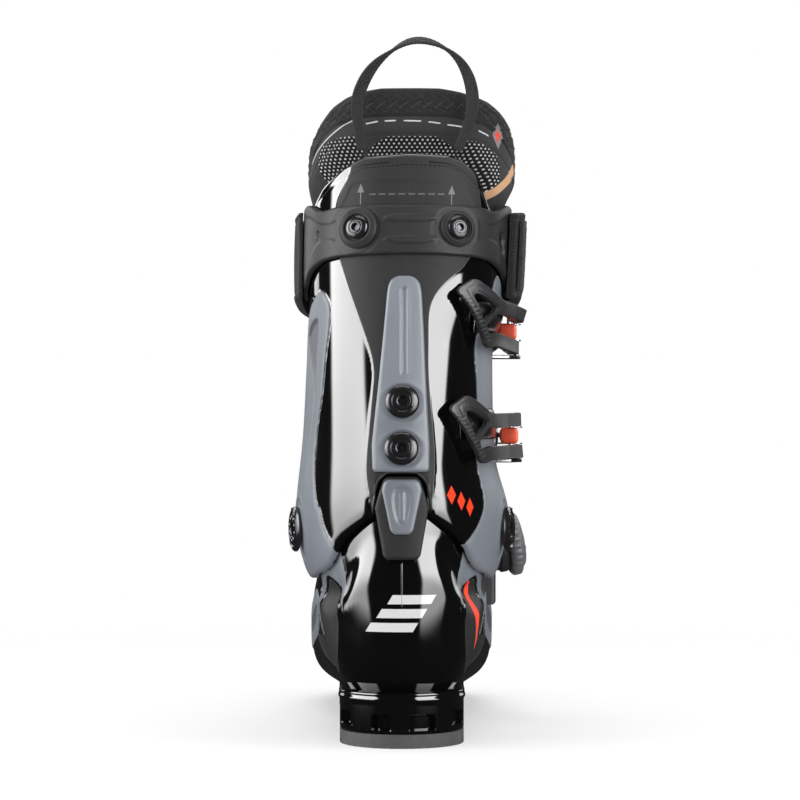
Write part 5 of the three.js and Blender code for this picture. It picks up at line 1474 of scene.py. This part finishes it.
    run = np.linspace(118, 187, 9)
    loop = [wire(p, 6.6) for p in run] + [wire(189.5, 3.4), wire(189.5, -3.4)]
    loop += [wire(p, -6.6) for p in run[::-1]] + [wire(114.6, -2.6), wire(114.6, 2.6)]
    rod = [[nose, cross[1] + 8, z0], [nose, cross[1] + 16, z0], [nose, cross[1] + 24, z0],
           cuff_point(108, height(108), 5.2), wire(114.5, 0)]
    thread = []
    for y in np.arange(cross[1] + 17.5, cross[1] + 27, 0.9):
        thread.append(turned([[1.2, -0.3], [1.75, 0], [1.2, 0.3]], [nose, y, z0], [0, 1, 0], 16))
    bail = merge(tube(loop, 1.25, 14, True, steps=5), tube(rod, 1.4, 14, steps=8), *thread)
    piece(f"{name}_buckle_bail", bail, wire_steel, f"{name}_bail", 60)

    # The toothed ladder on the outer flap.
    mid_z = float(height(186))
    psis = np.arange(-179.5, -148.4, 0.45)
    share = even(0, LADDER_WIDTH, 1.0, 1.0) / LADDER_WIDTH
    psi = columns(psis, share)
    z = mid_z - LADDER_WIDTH / 2 + LADDER_WIDTH * share[None]
    saw = (psi + 180) / 3.5 % 1
    inside = np.minimum(share, 1 - share)[None] * LADDER_WIDTH
    d = from_border(psis, share, 0.9, LADDER_WIDTH)
    off = FLAP_STEP + 0.9 + 0.85 * saw * (inside > 1.3) + 0.25 * (inside <= 1.3) - crowned(d, 0.7, 0.5)
    ladder = sheet(cuff_point(psi, z, off), cuff_point(psi, z, FLAP_STEP - 0.4))
    piece(f"{name}_buckle_ladder", ladder, black_alloy, "upper_boot", 35)


buckle("upper", UPPER)
buckle("lower", LOWER)


# ------------------------------------------------------------------ dial, lace and guides
def dial():
    """The dial's knob and its housing; the hub between them is shown as its CAD solid."""
    axis = unit(DIAL_NORMAL)
    centre = np.array(DIAL_CENTRE)
    ahead = unit(np.cross(axis, [0, 0, 1]))
    up = np.cross(ahead, axis)

    # The knob: a ring of finger grooves, then a raised face with a sunk middle.
    sides = 240
    angle = np.linspace(0, 2 * np.pi, sides, endpoint=False)
    profile = [
        [9.15, -6.2], [17.6, -6.2], [18.8, -6.1], [20.2, -5.2], [20.9, -4.2], [21.0, -2.6], [20.9, -0.8],
        [20.5, 0.1], [19.4, 0.8], [17.8, 1.4], [16.6, 1.9], [15.9, 2.9], [14.8, 3.5], [13.6, 3.6],
        [12.9, 3.2], [12.3, 3.3], [8.0, 4.6], [5.2, 5.2], [3, 5.55], [0, 5.65], [0, 3.5], [9.15, 3.5],
        [9.15, -6.2],
    ]
    spoke = np.cos(angle)[:, None] * ahead + np.sin(angle)[:, None] * up
    rows = []
    for r, h in profile:
        groove = 0.95 * smoothstep(-6.0, -4.6, h) * smoothstep(1.2, -0.4, h) * (r > 18)
        lobes = groove * (0.5 + 0.5 * np.cos(angle * 30)) ** 2.2
        flutes = 0.5 * ((r > 12) & (r < 13)) * (0.5 + 0.5 * np.cos(angle * 6)) ** 6
        rows.append(centre + axis * h + (r - lobes - flutes)[:, None] * spoke)
    arrows = []
    for k in range(3):
        a = math.radians(120 * k + 90)
        spot = centre + (ahead * math.cos(a) + up * math.sin(a)) * 9.6 + axis * 3.7
        arrows.append(turned([[0, 0], [1.25, 0], [1.25, 0.7], [0.95, 0.95], [0, 0.95]], spot, axis, 16))
    piece("dial_knob", merge(round_solid(rows, False), *arrows), knob_plastic, "dial_grip", 40)

    # The housing below it: a ribbed cup on a block that follows the shell.
    cup = []
    cup_profile = [[0, -25.6], [13.2, -25.6], [14.0, -25], [15.9, -13.5], [16.5, -12.6], [17.6, -12.1],
                   [17.9, -11.2], [17.9, -8.4], [17.2, -7.3], [16.2, -6.6], [0, -6.6]]
    for r, h in cup_profile:
        rib = 0.55 * (0.5 + 0.5 * np.cos(angle * 24)) ** 3 * (-24.5 < h < -13)
        radius = np.maximum(r + rib - 0.35, 0)
        cup.append(centre + axis * h + radius[:, None] * spoke * (r > 0))
    (back, front), (low, high) = BLOCK_Y, BLOCK_Z
    ys, zs = even(back, front, 1.5, 2.0), even(low, high, 1.5, 2.0)
    yy, zz = np.meshgrid(ys, zs, indexing="ij")
    d = np.minimum(np.minimum(yy - back, front - yy), np.minimum(zz - low, high - zz))
    slot = np.maximum(np.abs(yy - 19.5) - 9, np.abs(zz - 77) - 2.6)
    face_x = 56.6 - crowned(d, 2.6, 2.6) - 1.2 * fade(-1.0, 0.2, slot)
    face_x = face_x - 0.5 * (np.sin(yy * 1.9) > 0.55) * (zz > 82) * (d > 1.5)
    block = sheet(np.stack([face_x, yy, zz], -1), np.stack([0 * yy + 46, yy, zz], -1))
    piece("dial_housing", merge(round_solid(cup, False), block), dark_plastic, "lower_boot", 40)


dial()


LACE_STOPS = [
    [6.5, 52, 6], [6.45, 30, 6.4], [6.3, 0, 6.8], [6.15, -26, 6.8], [5.95, -40, 6.8], [5.75, -26, 6.8],
    [5.5, 0, 6.8], [5.35, 24, 6.8], [5.15, 36, 6.8], [4.95, 24, 6.8], [4.75, 0, 6.8], [4.5, -28, 6.8],
    [4.3, -42, 6.8], [4.1, -28, 6.8], [4.15, 0, 6.8], [4.4, 34, 6.4], [5.1, 58, 5.6], [5.75, 68, 5.6],
]
LACE_GUIDES = (("medial_rear", 5.95, -43), ("lateral_mid", 5.15, 39), ("medial_front", 4.3, -45))


def lace_and_guides():
    v, u, out = np.array(LACE_STOPS, float).T
    per_ring = 12
    points, faces = tube(shell_point(v, u, -out), 0.85, per_ring, steps=14)
    ring = np.arange(len(points)) // per_ring
    run = run_along(points[::per_ring])[ring]
    around = (np.arange(len(points)) % per_ring) / per_ring * 5.3
    cloth = np.column_stack([run + around, run - around, 0 * run])
    piece("lace", (points, faces), lace_cord, "lower_boot", 60, {"cloth": cloth})
    for name, v0, u0 in LACE_GUIDES:
        side = np.sign(u0)

        def layer(v, u, out):
            return shell_point(v, u0 + side * u, -out)

        vs, us = even(v0 - 0.34, v0 + 0.34, 0.03, 0.05), even(-9, 9, 0.7, 1.2)
        vv, uu = np.meshgrid(vs, us, indexing="ij")
        d_along, d_across = np.minimum(vs - vs[0], vs[-1] - vs), np.minimum(us + 9, 9 - us)
        d = np.minimum(d_along[:, None] * 24, d_across[None] * 0.85)
        hood = layer(vv, uu, 9.5 - crowned(d, 2.0, 1.8) + 0.3 * bell(d - 2.8, 0.5))
        under = layer(vv, uu, 8.15 - crowned(d, 2.0, 0.6))
        parts = [sheet(hood, under), sheet(layer(vv, uu, 5.35), layer(vv, uu, 1.2))]
        ends = (v0 - 0.34, v0 + 0.27)
        walls = [(np.linspace(end, end + 0.07, 3), np.linspace(-8.6, 8.6, 12), 8.4) for end in ends]
        walls.append((np.linspace(v0 - 0.33, v0 + 0.33, 10), np.linspace(6.6, 8.8, 3), 8.6))
        for wall_v, wall_u, high in walls:
            vv, uu = np.meshgrid(wall_v, wall_u, indexing="ij")
            parts.append(sheet(layer(vv, uu, high), layer(vv, uu, 5.0)))
        piece(f"lace_guide_{name}", merge(*parts), dark_plastic, "lower_boot", 40)


lace_and_guides()


# ------------------------------------------------------------------ liner
LINER_PADDING, QUILT_ROW, QUILT_CELL = 11, 4.6, 6.8
LINER_TOP_INNER = polyline([[0, 367], [14, 367], [25, 365.5], [34, 362.5], [42, 358.5], [50, 352.5],
                            [60, 345], [80, 336], [110, 331], [150, 334]])
LINER_TOP_OUTER = polyline([[0, 367], [14, 367], [25, 365.5], [34, 363.5], [42, 361], [50, 356.5], [58, 351],
                            [66, 345], [80, 337], [110, 331], [150, 334]])
LINER_BOTTOM = polyline([[0, 171], [90, 178], [150, 188]])
COLLAR_LINE = polyline([[0, 350.5], [20, 350], [38, 346.5], [50, 339], [62, 329], [80, 320], [110, 312],
                        [150, 309]])


def cloth_puff(points, faces, held, pressure, frames, cap):
    """How far a closed surface moves when the cloth solver inflates it with its held points pinned."""
    mesh = bpy.data.meshes.new("puff")
    mesh.from_pydata((points / 1000).tolist(), [], [tuple(map(int, f)) for f in faces])
    obj = bpy.data.objects.new("puff", mesh)
    bpy.context.scene.collection.objects.link(obj)
    group = obj.vertex_groups.new(name="seams")
    for k in np.nonzero(held > 0.01)[0]:
        group.add([int(k)], float(held[k]), "REPLACE")
    cloth = obj.modifiers.new("cloth", "CLOTH")
    settings = cloth.settings
    settings.quality = 6
    settings.mass = 0.15
    settings.tension_stiffness = 18
    settings.compression_stiffness = 18
    settings.shear_stiffness = 8
    settings.bending_stiffness = 0.4
    settings.use_pressure = True
    settings.uniform_pressure_force = pressure
    settings.effector_weights.gravity = 0
    settings.vertex_group_mass = "seams"
    cloth.collision_settings.use_collision = False
    cloth.point_cache.frame_start = 1
    cloth.point_cache.frame_end = frames
    scene = bpy.context.scene
    keep = scene.frame_start, scene.frame_end
    scene.frame_start, scene.frame_end = 1, frames
    for f in range(1, frames + 1):
        scene.frame_set(f)
    graph = bpy.context.evaluated_depsgraph_get()
    settled = obj.evaluated_get(graph).to_mesh()
    moved = np.array([v.co[:] for v in settled.vertices]) * 1000
    obj.evaluated_get(graph).to_mesh_clear()
    scene.frame_start, scene.frame_end = keep
    scene.frame_set(1)
    bpy.data.objects.remove(obj)
    bpy.data.meshes.remove(mesh)
    shift = moved - points
    size = np.linalg.norm(shift, axis=1, keepdims=True)
    return shift * np.minimum(1, cap / np.maximum(size, 1e-9))


def liner_cloth(name, colour, pale):
    """The liner's cloth: plain weave, quilting stitches, a dotted mesh panel, piping and pale marks."""
    s = Shader(name)
    split = s.node("SeparateXYZ", {0: s.attribute("cloth", "Vector")})
    across, up = split.outputs[0], split.outputs[1]
    a = s.math("SINE", s.times(across, 2 * math.pi / 1.6))
    b = s.math("SINE", s.times(up, 2 * math.pi / 1.6))
    weave = s.step(s.times(a, b), -0.7, 0.8)
    fibre = s.noise(3000, 3)

    zone = s.zone
    dots_row = s.ratio(up, 2.0)
    row = s.math("FLOOR", dots_row)
    shifted = s.plus(s.ratio(across, 3.1), s.times(row, 0.5))
    px = s.times(s.minus(s.math("FRACT", shifted), 0.5), 3.1)
    py = s.times(s.minus(s.math("FRACT", dots_row), 0.5), 2.0)
    radius = s.math("SQRT", s.plus(s.times(px, px), s.times(s.times(py, py), 1.5)))
    dot = s.times(s.step(radius, 0.78, 0.55), zone("mesh", 0.3))
    stitch = zone("stitch", 0.22)
    tone = s.plus(s.times(weave, 0.5), s.times(fibre, 0.35))
    base = s.mix(tone, colour, pale)
    base = s.mix(s.times(s.step(s.noise(30, 4), 0.35, 0.7), 0.3), base, pale)
    base = s.mix(zone("panel", 0.3), base, s.mix(tone, (0.026, 0.026, 0.027), (0.04, 0.04, 0.041)))
    base = s.mix(zone("mesh", 0.4), base, (0.006, 0.006, 0.0065))
    base = s.mix(dot, base, s.mix(s.noise(60, 2), (0.25, 0.25, 0.25), (0.9, 0.9, 0.9)))
    base = s.mix(s.times(stitch, 0.75), base, (0.085, 0.085, 0.087))
    base = s.mix(zone("piping", 0.1), base, (0.012, 0.012, 0.013))
    base = s.mix(zone("white", 0.1), base, (0.62, 0.62, 0.62))
    base = s.mix(zone("peach", 0.1), base, (0.62, 0.36, 0.2))
    reach = s.plus(s.ratio(s.size(s.minus(across, 58.5)), 4.8),
                   s.ratio(s.size(s.minus(up, 341.0)), 7.6))
    for size, paint in ((1.0, (0.24, 0.2, 0.205)), (0.5, (0.75, 0.09, 0.05))):
        rhombus = s.times(zone("tag", 0.1), s.step(reach, size + 0.03, size - 0.03))
        base = s.mix(rhombus, base, paint)
    normal = s.bump(weave, 0.16)
    normal = s.bump(fibre, 0.05, normal)
    normal = s.bump(dot, -0.25, normal)
    normal = s.bump(stitch, 0.3, normal)
    return s.done(Base_Color=base, Roughness=0.84, Normal=normal, Sheen_Weight=0.15, Sheen_Roughness=0.45,
                  Sheen_Tint=SHEEN_TINT, Specular_IOR_Level=0.15)


liner_shell_cloth = liner_cloth("liner_cloth", (0.008, 0.008, 0.0085), (0.024, 0.024, 0.025))


def collar_offset(z, psi):
    """The liner leans out over the cuff's rim once it is above it."""
    top = cuff_top(psi)
    spread = np.where(psi > 0, 6.0 * smoothstep(25, 62, psi), 2.6 * smoothstep(25, 62, -psi))
    spread = spread * fade(118, 146, np.abs(psi)) * smoothstep(300, 318, z)
    return -LINER_INSET + 6 * smoothstep(top + 2, top + 16, z) + spread


def liner_top(psi):
    return np.where(np.asarray(psi) > 0, LINER_TOP_OUTER(np.abs(psi)), LINER_TOP_INNER(np.abs(psi)))


def liner_grid(psi, share):
    low, high = LINER_BOTTOM(np.abs(psi)), liner_top(psi)
    return low + (high - low) * share


def puffed_liner(psis, share):
    """Coarse pressure pass over the collar: how far each point of its outside moves along x, y and z."""
    gp = np.linspace(-148, 148, 75)
    gs = np.linspace(0.62, 1.0, 19)
    psi, sh = np.meshgrid(gp, gs, indexing="ij")
    z = liner_grid(psi, sh)
    off = collar_offset(z, psi)
    points, faces = sheet(cuff_point(psi, z, off), cuff_point(psi, z, off - LINER_PADDING))
    line = np.abs(z - COLLAR_LINE(np.abs(psi)))
    low_line = np.abs(z - COLLAR_LINE(np.abs(psi)) + 10.5)
    seams = np.maximum(bell(line, 2.2), bell(low_line, 2.2))
    ends = np.maximum(smoothstep(138, 147, np.abs(psi)), smoothstep(0.66, 0.62, sh))
    held_out = np.clip(np.maximum(seams, ends), 0, 1).ravel()
    held_in = np.clip(np.maximum(ends, 0.9), 0, 1).ravel()
    shift = cloth_puff(points, faces, np.concatenate([held_out, held_in]), pressure=4.0, frames=20, cap=3.4)
    shift = shift[: psi.size].reshape(len(gp), len(gs), 3)
    i, j = (psis[:, None] - gp[0]) / (gp[1] - gp[0]), (share[None] - gs[0]) / (gs[1] - gs[0])
    i, j = np.broadcast_arrays(i, j)
    result = between(shift, i, j, lambda t: smoothstep(0, 1, t))
    result[:, share < gs[0]] = 0
    return result


def liner_shaft():
    psis = even(-148, 148, 0.9, 2.4)
    share = np.concatenate([np.linspace(0, 0.6, 34, endpoint=False), 0.6 + 0.4 * even(0, 1, 0.0085, 0.05)])
    psi = columns(psis, share)
    z = liner_grid(psi, share[None])
    off = collar_offset(z, psi)
    top = liner_top(psi)
    roll = crowned(top - z, 5.2, 4.4)
    line = z - COLLAR_LINE(np.abs(psi))
    fall = 0.9 * bell(line, 0.9) + 0.7 * bell(line + 10.5, 0.8)
    arc = arc_of(psi, z)
    flat = np.stack([arc.ravel(), z.ravel()], 1)
    padded = smoothstep(0.5, 3.5, line) * smoothstep(0, 4, top - z)
    quilt_row = (z - 345.5) / QUILT_ROW
    lane = quilt_row - np.floor(quilt_row)
    slide = (arc + np.floor(quilt_row) * QUILT_CELL / 2) / QUILT_CELL
    cell = slide - np.floor(slide)
    mark = np.stack([((cell - 0.5) * QUILT_CELL).ravel(), ((lane - 0.5) * QUILT_ROW).ravel()], 1)
    lean = np.where(np.floor(quilt_row).ravel() % 2 < 1, 1, -1)
    mark[:, 0] = mark[:, 0] * lean
    strokes = distance_to_lines(mark, [[-3.0, -2.3], [3.0, 2.3]]) - 0.28
    collar_zone = (line.ravel() > 2.5) & ((top - z).ravel() > 1.5)
    strokes = np.where(collar_zone, strokes, 9)
    off = off + padded * 0.55 * np.cos((lane - 0.5) * 2 * np.pi) * np.cos((cell - 0.5) * 2 * np.pi)
    off = off - fall - 0.5 * bell(strokes.reshape(off.shape), 0.6) * padded
    side_line = rounded([[-42, 349.5], [-53, 344], [-72, 334], [-82, 322]], 2, False)
    right_line = rounded([[52, 347], [68, 336], [78, 327], [84, 314]], 2, False)
    piping = np.minimum(distance_to_lines(flat, side_line), distance_to_lines(flat, right_line))
    off = off + 0.55 * bell(piping.reshape(off.shape), 0.7)
    off = off - roll
    outer = cuff_point(psi, z, off)
    shift = puffed_liner(psis, share)
    if shift is not None:
        outer = outer + shift
    else:
        outer = cuff_point(psi, z, off + 1.4 * padded)
    inner_off = collar_offset(z, psi) - LINER_PADDING + roll * 0.9
    inner = cuff_point(psi, z, inner_off + 0.5 * np.cos(z / 5) * smoothstep(6, 20, top - z))
    mesh_middle = signed_distance(flat, rounded([[-27, 312], [-27, 338.9], [30, 338.9], [30, 312]], 1))
    mesh_left = signed_distance(flat,
                                rounded([[-62, 305], [-66, 333], [-46, 339.6], [-30, 339.2], [-30, 312]], 1))
    mesh_right = signed_distance(flat,
                                 rounded([[31, 312], [31, 337], [47, 336.5], [60, 328], [60, 309], [46, 305]],
                                         1))
    dashes = [np.full(len(flat), FAR)]
    for x0, z0, x1, z1 in ((-26, 346.3, -18.5, 347.4), (-14.5, 347.6, -8, 347.8), (-3.5, 347.8, 6.5, 347.4),
                           (11, 347, 17.5, 346.4), (22.2, 345.6, 31.4, 344.8), (43, 343.2, 50.5, 340.6)):
        dashes.append(distance_to_lines(flat, [[x0, z0], [x1, z1]]) - 0.42)
    curve = distance_to_lines(flat,
                              rounded([[-33, 349], [-38, 348], [-51.3, 341.4], [-64.1, 334.3], [-76, 326]], 2,
                                      False)) - 0.4
    tag = signed_distance(flat, [[50, 352], [68, 352], [68, 330], [50, 330]])
    peach = signed_distance(flat, [[50, 305.6], [52.5, 299.9], [82, 321], [79, 327]])
    fields = {
        "mesh": np.minimum.reduce([mesh_middle, mesh_left, mesh_right]),
        "stitch": strokes,
        "piping": piping - 0.5,
        "white": np.minimum.reduce(dashes + [curve]),
        "tag": tag,
        "peach": peach,
        "panel": np.where(line.ravel() < 0, line.ravel(), np.abs(line.ravel())),
    }
    attributes = {key: outside_only(values) for key, values in fields.items()}
    attributes.update(threads(flat[:, 0], flat[:, 1]))
    piece("liner_shaft", sheet(outer, inner), liner_shell_cloth, "upper_boot", 70, attributes)


liner_shaft()


def liner_tongue():
    psis = even(149, 211, 1.1, 2.4)
    top = polyline([[148, 352], [160, 362], [180, 366], [200, 362], [212, 352]])(psis)
    share = np.concatenate([np.linspace(0, 0.6, 40, endpoint=False), 0.6 + 0.4 * even(0, 1, 0.02, 0.05)])
    psi = columns(psis, share)
    z = 192 + (top[:, None] - 192) * share
    below = top[:, None] - z
    side = np.minimum(psis - 149, 211 - psis)[:, None] * 0.9
    d = np.minimum(below, side)
    rise = -LINER_INSET - 0.4
    band = (z - 300) % 16
    bands = 0.9 * bell(band - 8, 1.1) * smoothstep(4, 10, side) * (z > 270) * smoothstep(6, 12, below)
    puff = 1.6 * np.sin(np.clip(band / 16, 0, 1) * np.pi) * (z > 270) * smoothstep(4, 12, side)
    outer = cuff_point(psi, z, rise - 1.2 + puff - bands - crowned(d, 6.0, 5.4))
    inner = cuff_point(psi, z, rise - 12.4 + crowned(d, 6.0, 4.4))
    piece("liner_tongue", sheet(outer, inner), lining_cloth, "upper_boot", 75,
          threads(arc_of(psi, z), z))


liner_tongue()


def liner_foot():
    """The sock inside the lower shell: the shell's own form drawn inwards, open at the ankle."""
    v = np.concatenate([[1.5, 1.6, 1.8], np.arange(2, 14.4, 0.22)])
    u = np.arange(0, 360, 3.0)
    vv, uu = np.meshgrid(v, u, indexing="ij")
    signed = np.where(uu > 180, uu - 360, uu)
    seam = 0.8 * bell(np.abs(signed) - 62, 3.2) + 0.6 * bell(signed, 4.0) * (vv > 5)
    padding = 0.5 * np.cos(vv * 4.1) * np.cos(np.radians(uu * 3))
    outer = shell_point(vv, uu, SHELL_WALL + 2.5 + seam - padding * 0.4)
    inner = shell_point(vv, uu, SHELL_WALL + 10.6)
    piece("liner_foot", pot(outer, inner), lining_cloth, "lower_boot", 80,
          threads(np.radians(uu) * 45, vv * MM_PER_STATION))


liner_foot()


# ------------------------------------------------------------------ pull loop
LOOP_TWIST = 115.0
LOOP_ARCH = [[-22.6, 331], [-24.6, 345], [-24.8, 360], [-17.5, 377], [-6, 388], [8, 394.5], [25, 389.5],
             [36, 377], [40, 360], [37.5, 345], [31.7, 331]]


def pull_loop():
    """A webbing loop that twists as it rises, with its stitches at both ends."""
    x, z = np.array(LOOP_ARCH, float).T
    y = cuff_point(0, z, 0)[:, 1] - 1.2 + smoothstep(345, 395, z) * 5
    spans = np.linalg.norm(np.diff(np.column_stack([x, y, z]), axis=0), axis=1)
    knots = np.concatenate([[0], np.cumsum(spans**0.5)])
    curve = spline(np.column_stack([knots, x, y, z]))
    fine = curve(np.linspace(0, knots[-1], 600)).T
    run = run_along(fine)
    length = run[-1]
    t = np.linspace(0, 1, 230)
    centre = np.stack([np.interp(t * length, run, fine[:, k]) for k in range(3)], 1)
    along = unit(np.gradient(centre, axis=0))
    turn = np.radians(LOOP_TWIST) * smoothstep(0.12, 0.5, np.where(t < 0.5, t, 1 - t))
    across = unit(np.cross([0, -1, 0], along))
    out = unit(np.cross(along, across))
    wide = across * np.cos(turn)[:, None] + out * np.sin(turn)[:, None]
    thick = np.cross(wide, along)
    around = []
    count = 40
    for k in range(count):
        a = 2 * np.pi * k / count
        c, s = math.cos(a), math.sin(a)
        around.append((5.0 * np.sign(c) * abs(c) ** 0.5, 1.0 * np.sign(s) * abs(s) ** 0.5))
    around = np.array(around)
    end = np.minimum(t, 1 - t)
    gather = 0.52 + 0.2 * smoothstep(0.02, 0.2, end) + 0.28 * smoothstep(0.22, 0.48, end)
    fat = 1 + 0.5 * fade(0.05, 0.4, end)
    wrap = 0.1 * np.sin(t * length * 2 * np.pi / 1.5) * fade(0.06, 0.12, end)
    rib = 0.14 * np.sin(t * length * 2 * np.pi / 2.4)[:, None] * np.sin(around[:, 0] * 1.3)[None]
    body = centre[:, None] + wide[:, None] * around[None, :, :1] * (gather * (1 + wrap * 0.3))[:, None, None]
    body = body + thick[:, None] * (around[None, :, 1:] * (1 + rib[..., None]) * (fat + wrap)[:, None, None])
    n = len(t)
    faces = ring_faces(n, count).tolist()
    faces += [tuple(range(count))[::-1], tuple(range((n - 1) * count, n * count))]
    cloth = np.column_stack([np.tile(around[:, 0], n), np.repeat(t * length, count), np.zeros(n * count)])
    stitches = []
    for end in (slice(3, 16), slice(n - 16, n - 3)):
        for dx in (-1.5, 1.5):
            path = centre[end] + wide[end] * dx + thick[end] * 1.35
            stitches.append(tube(path[::2], 0.32, 6, steps=2))
    points, faces = merge((body, faces), *stitches)
    cloth = np.vstack([cloth, np.tile([0.5, 0.3, 0], (len(points) - len(cloth), 1))])
    piece("pull_loop", (points, faces), loop_webbing, "loop", 60, {"cloth": cloth})


pull_loop()


# ------------------------------------------------------------------ pieces kept as drawn
PLAIN = {
    "heel_sole_pad": sole_rubber, "toe_sole_pad": sole_rubber, "boot_board": board_plastic,
    "footbed": board_plastic,
    "dial_hub": dark_plastic,
}
for name, node in frame["nodes"].items():
    material = PLAIN.get(name)
    if material is None:
        material = bright_steel if "screw" in name and "strap" not in name else bolt_metal
    for k in range(len(node.data.materials)):
        node.data.materials[k] = material
    if name in ("heel_sole_pad", "toe_sole_pad"):
        add_bevel(node, 0.6)
    elif "screw" in name or "pivot" in name or "nut" in name:
        add_bevel(node, 0.3)


# ------------------------------------------------------------------ floor, light and camera
def floor():
    """A pale floor that fades into the background away from the boot."""
    s = Shader("floor_paint")
    away = s.node("VectorMath", {0: s.coords(), 1: (0, 0.1, 0)}, operation="DISTANCE").outputs["Value"]
    paper = s.done(Base_Color=(0.93, 0.93, 0.93), Roughness=0.7, Specular_IOR_Level=0.0)
    glow = s.node("Emission", {"Color": (1.0, 1.0, 1.0), "Strength": 1.0})
    mixer = s.node("MixShader", {0: s.step(away, 0.12, 0.75, 0.45, 1.0)})
    s.tree.links.new(s.bsdf.outputs[0], mixer.inputs[1])
    s.tree.links.new(glow.outputs[0], mixer.inputs[2])
    s.tree.links.new(mixer.outputs[0], s.tree.nodes["Material Output"].inputs["Surface"])
    mesh = bpy.data.meshes.new("floor")
    mesh.from_pydata([(-4, -2.5, 0), (4, -2.5, 0), (4, 6, 0), (-4, 6, 0)], [], [(0, 1, 2, 3)])
    obj = bpy.data.objects.new("floor", mesh)
    obj.data.materials.append(paper)
    bpy.context.scene.collection.objects.link(obj)
    obj.visible_glossy = False
    obj.visible_shadow = False


def lamp(name, location, target, width, height, energy, shine=None):
    """An area light; shine True shows only in reflections, False never does."""
    light = bpy.data.lights.new(name, "AREA")
    light.shape = "RECTANGLE"
    light.size = width
    light.size_y = height
    light.energy = energy
    obj = bpy.data.objects.new(name, light)
    obj.location = location
    obj.rotation_euler = (Vector(target) - Vector(location)).to_track_quat("-Z", "Y").to_euler()
    bpy.context.scene.collection.objects.link(obj)
    obj.visible_diffuse = shine is not True
    obj.visible_glossy = shine is not False
    if shine:
        n = Nodes(light)
        u, v, _ = n.node("SeparateXYZ", {0: n.node("NewGeometry").outputs["Parametric"]}).outputs
        sides = n.times(n.step(u, 0.0, 0.12), n.step(u, 1.0, 0.88))
        rise = n.times(n.step(v, 0.2, 0.28), n.step(v, 0.3, 0.64, 0.4, 1.0))
        n.put(n.tree.nodes["Emission"].inputs["Strength"], n.times(sides, rise))


def world():
    scene_world = bpy.data.worlds.new("studio")
    bpy.context.scene.world = scene_world
    n = Nodes(scene_world)
    n.tree.nodes.clear()
    ray = n.node("LightPath").outputs

    def background(value):
        return n.node("Background", {0: (value, value, value * 1.01, 1)}).outputs[0]

    def choose(test, yes, no):
        return n.node("MixShader", {0: ray[test], 1: no, 2: yes}).outputs[0]

    surround = choose("Is Glossy Ray", background(0.02), background(0.42))
    n.node("OutputWorld", {0: choose("Is Camera Ray", background(1.0), surround)})


floor()
world()
lamp("left_softbox", (-1.22, -0.23, 0.37), (0, 0.05, 0.37), 1.5, 1.65, 78, True)
lamp("right_softbox", (0.95, -0.84, 0.37), (0, 0.05, 0.37), 1.05, 1.65, 56, True)
lamp("inner_softbox", (-1.05, 1.4, 0.5), (0, 0.1, 0.35), 0.6, 1.2, 9, True)
lamp("outer_softbox", (1.05, 1.4, 0.5), (0, 0.1, 0.35), 0.6, 1.2, 9, True)
lamp("left_fill", (-1.5, -0.3, 0.5), (0, 0.05, 0.2), 0.8, 0.9, 9, False)
lamp("right_fill", (1.5, -0.3, 0.5), (0, 0.05, 0.2), 0.8, 0.9, 9, False)
lamp("front_fill", (0.0, -1.6, 0.95), (0, 0, 0.2), 0.9, 0.6, 9, False)
lamp("top_light", (0.0, 0.2, 1.4), (0, 0.1, 0.2), 1.0, 1.0, 12)

camera = bpy.data.cameras.new("camera")
camera.lens = 124
camera.sensor_width = 36
viewer = bpy.data.objects.new("camera", camera)
viewer.location = (-0.001, -1.5455, 0.190)
viewer.rotation_euler = (math.pi / 2, 0, 0)
bpy.context.scene.collection.objects.link(viewer)
bpy.context.scene.camera = viewer
bpy.context.scene.view_settings.view_transform = "Standard"
bpy.context.scene.view_settings.look = "None"
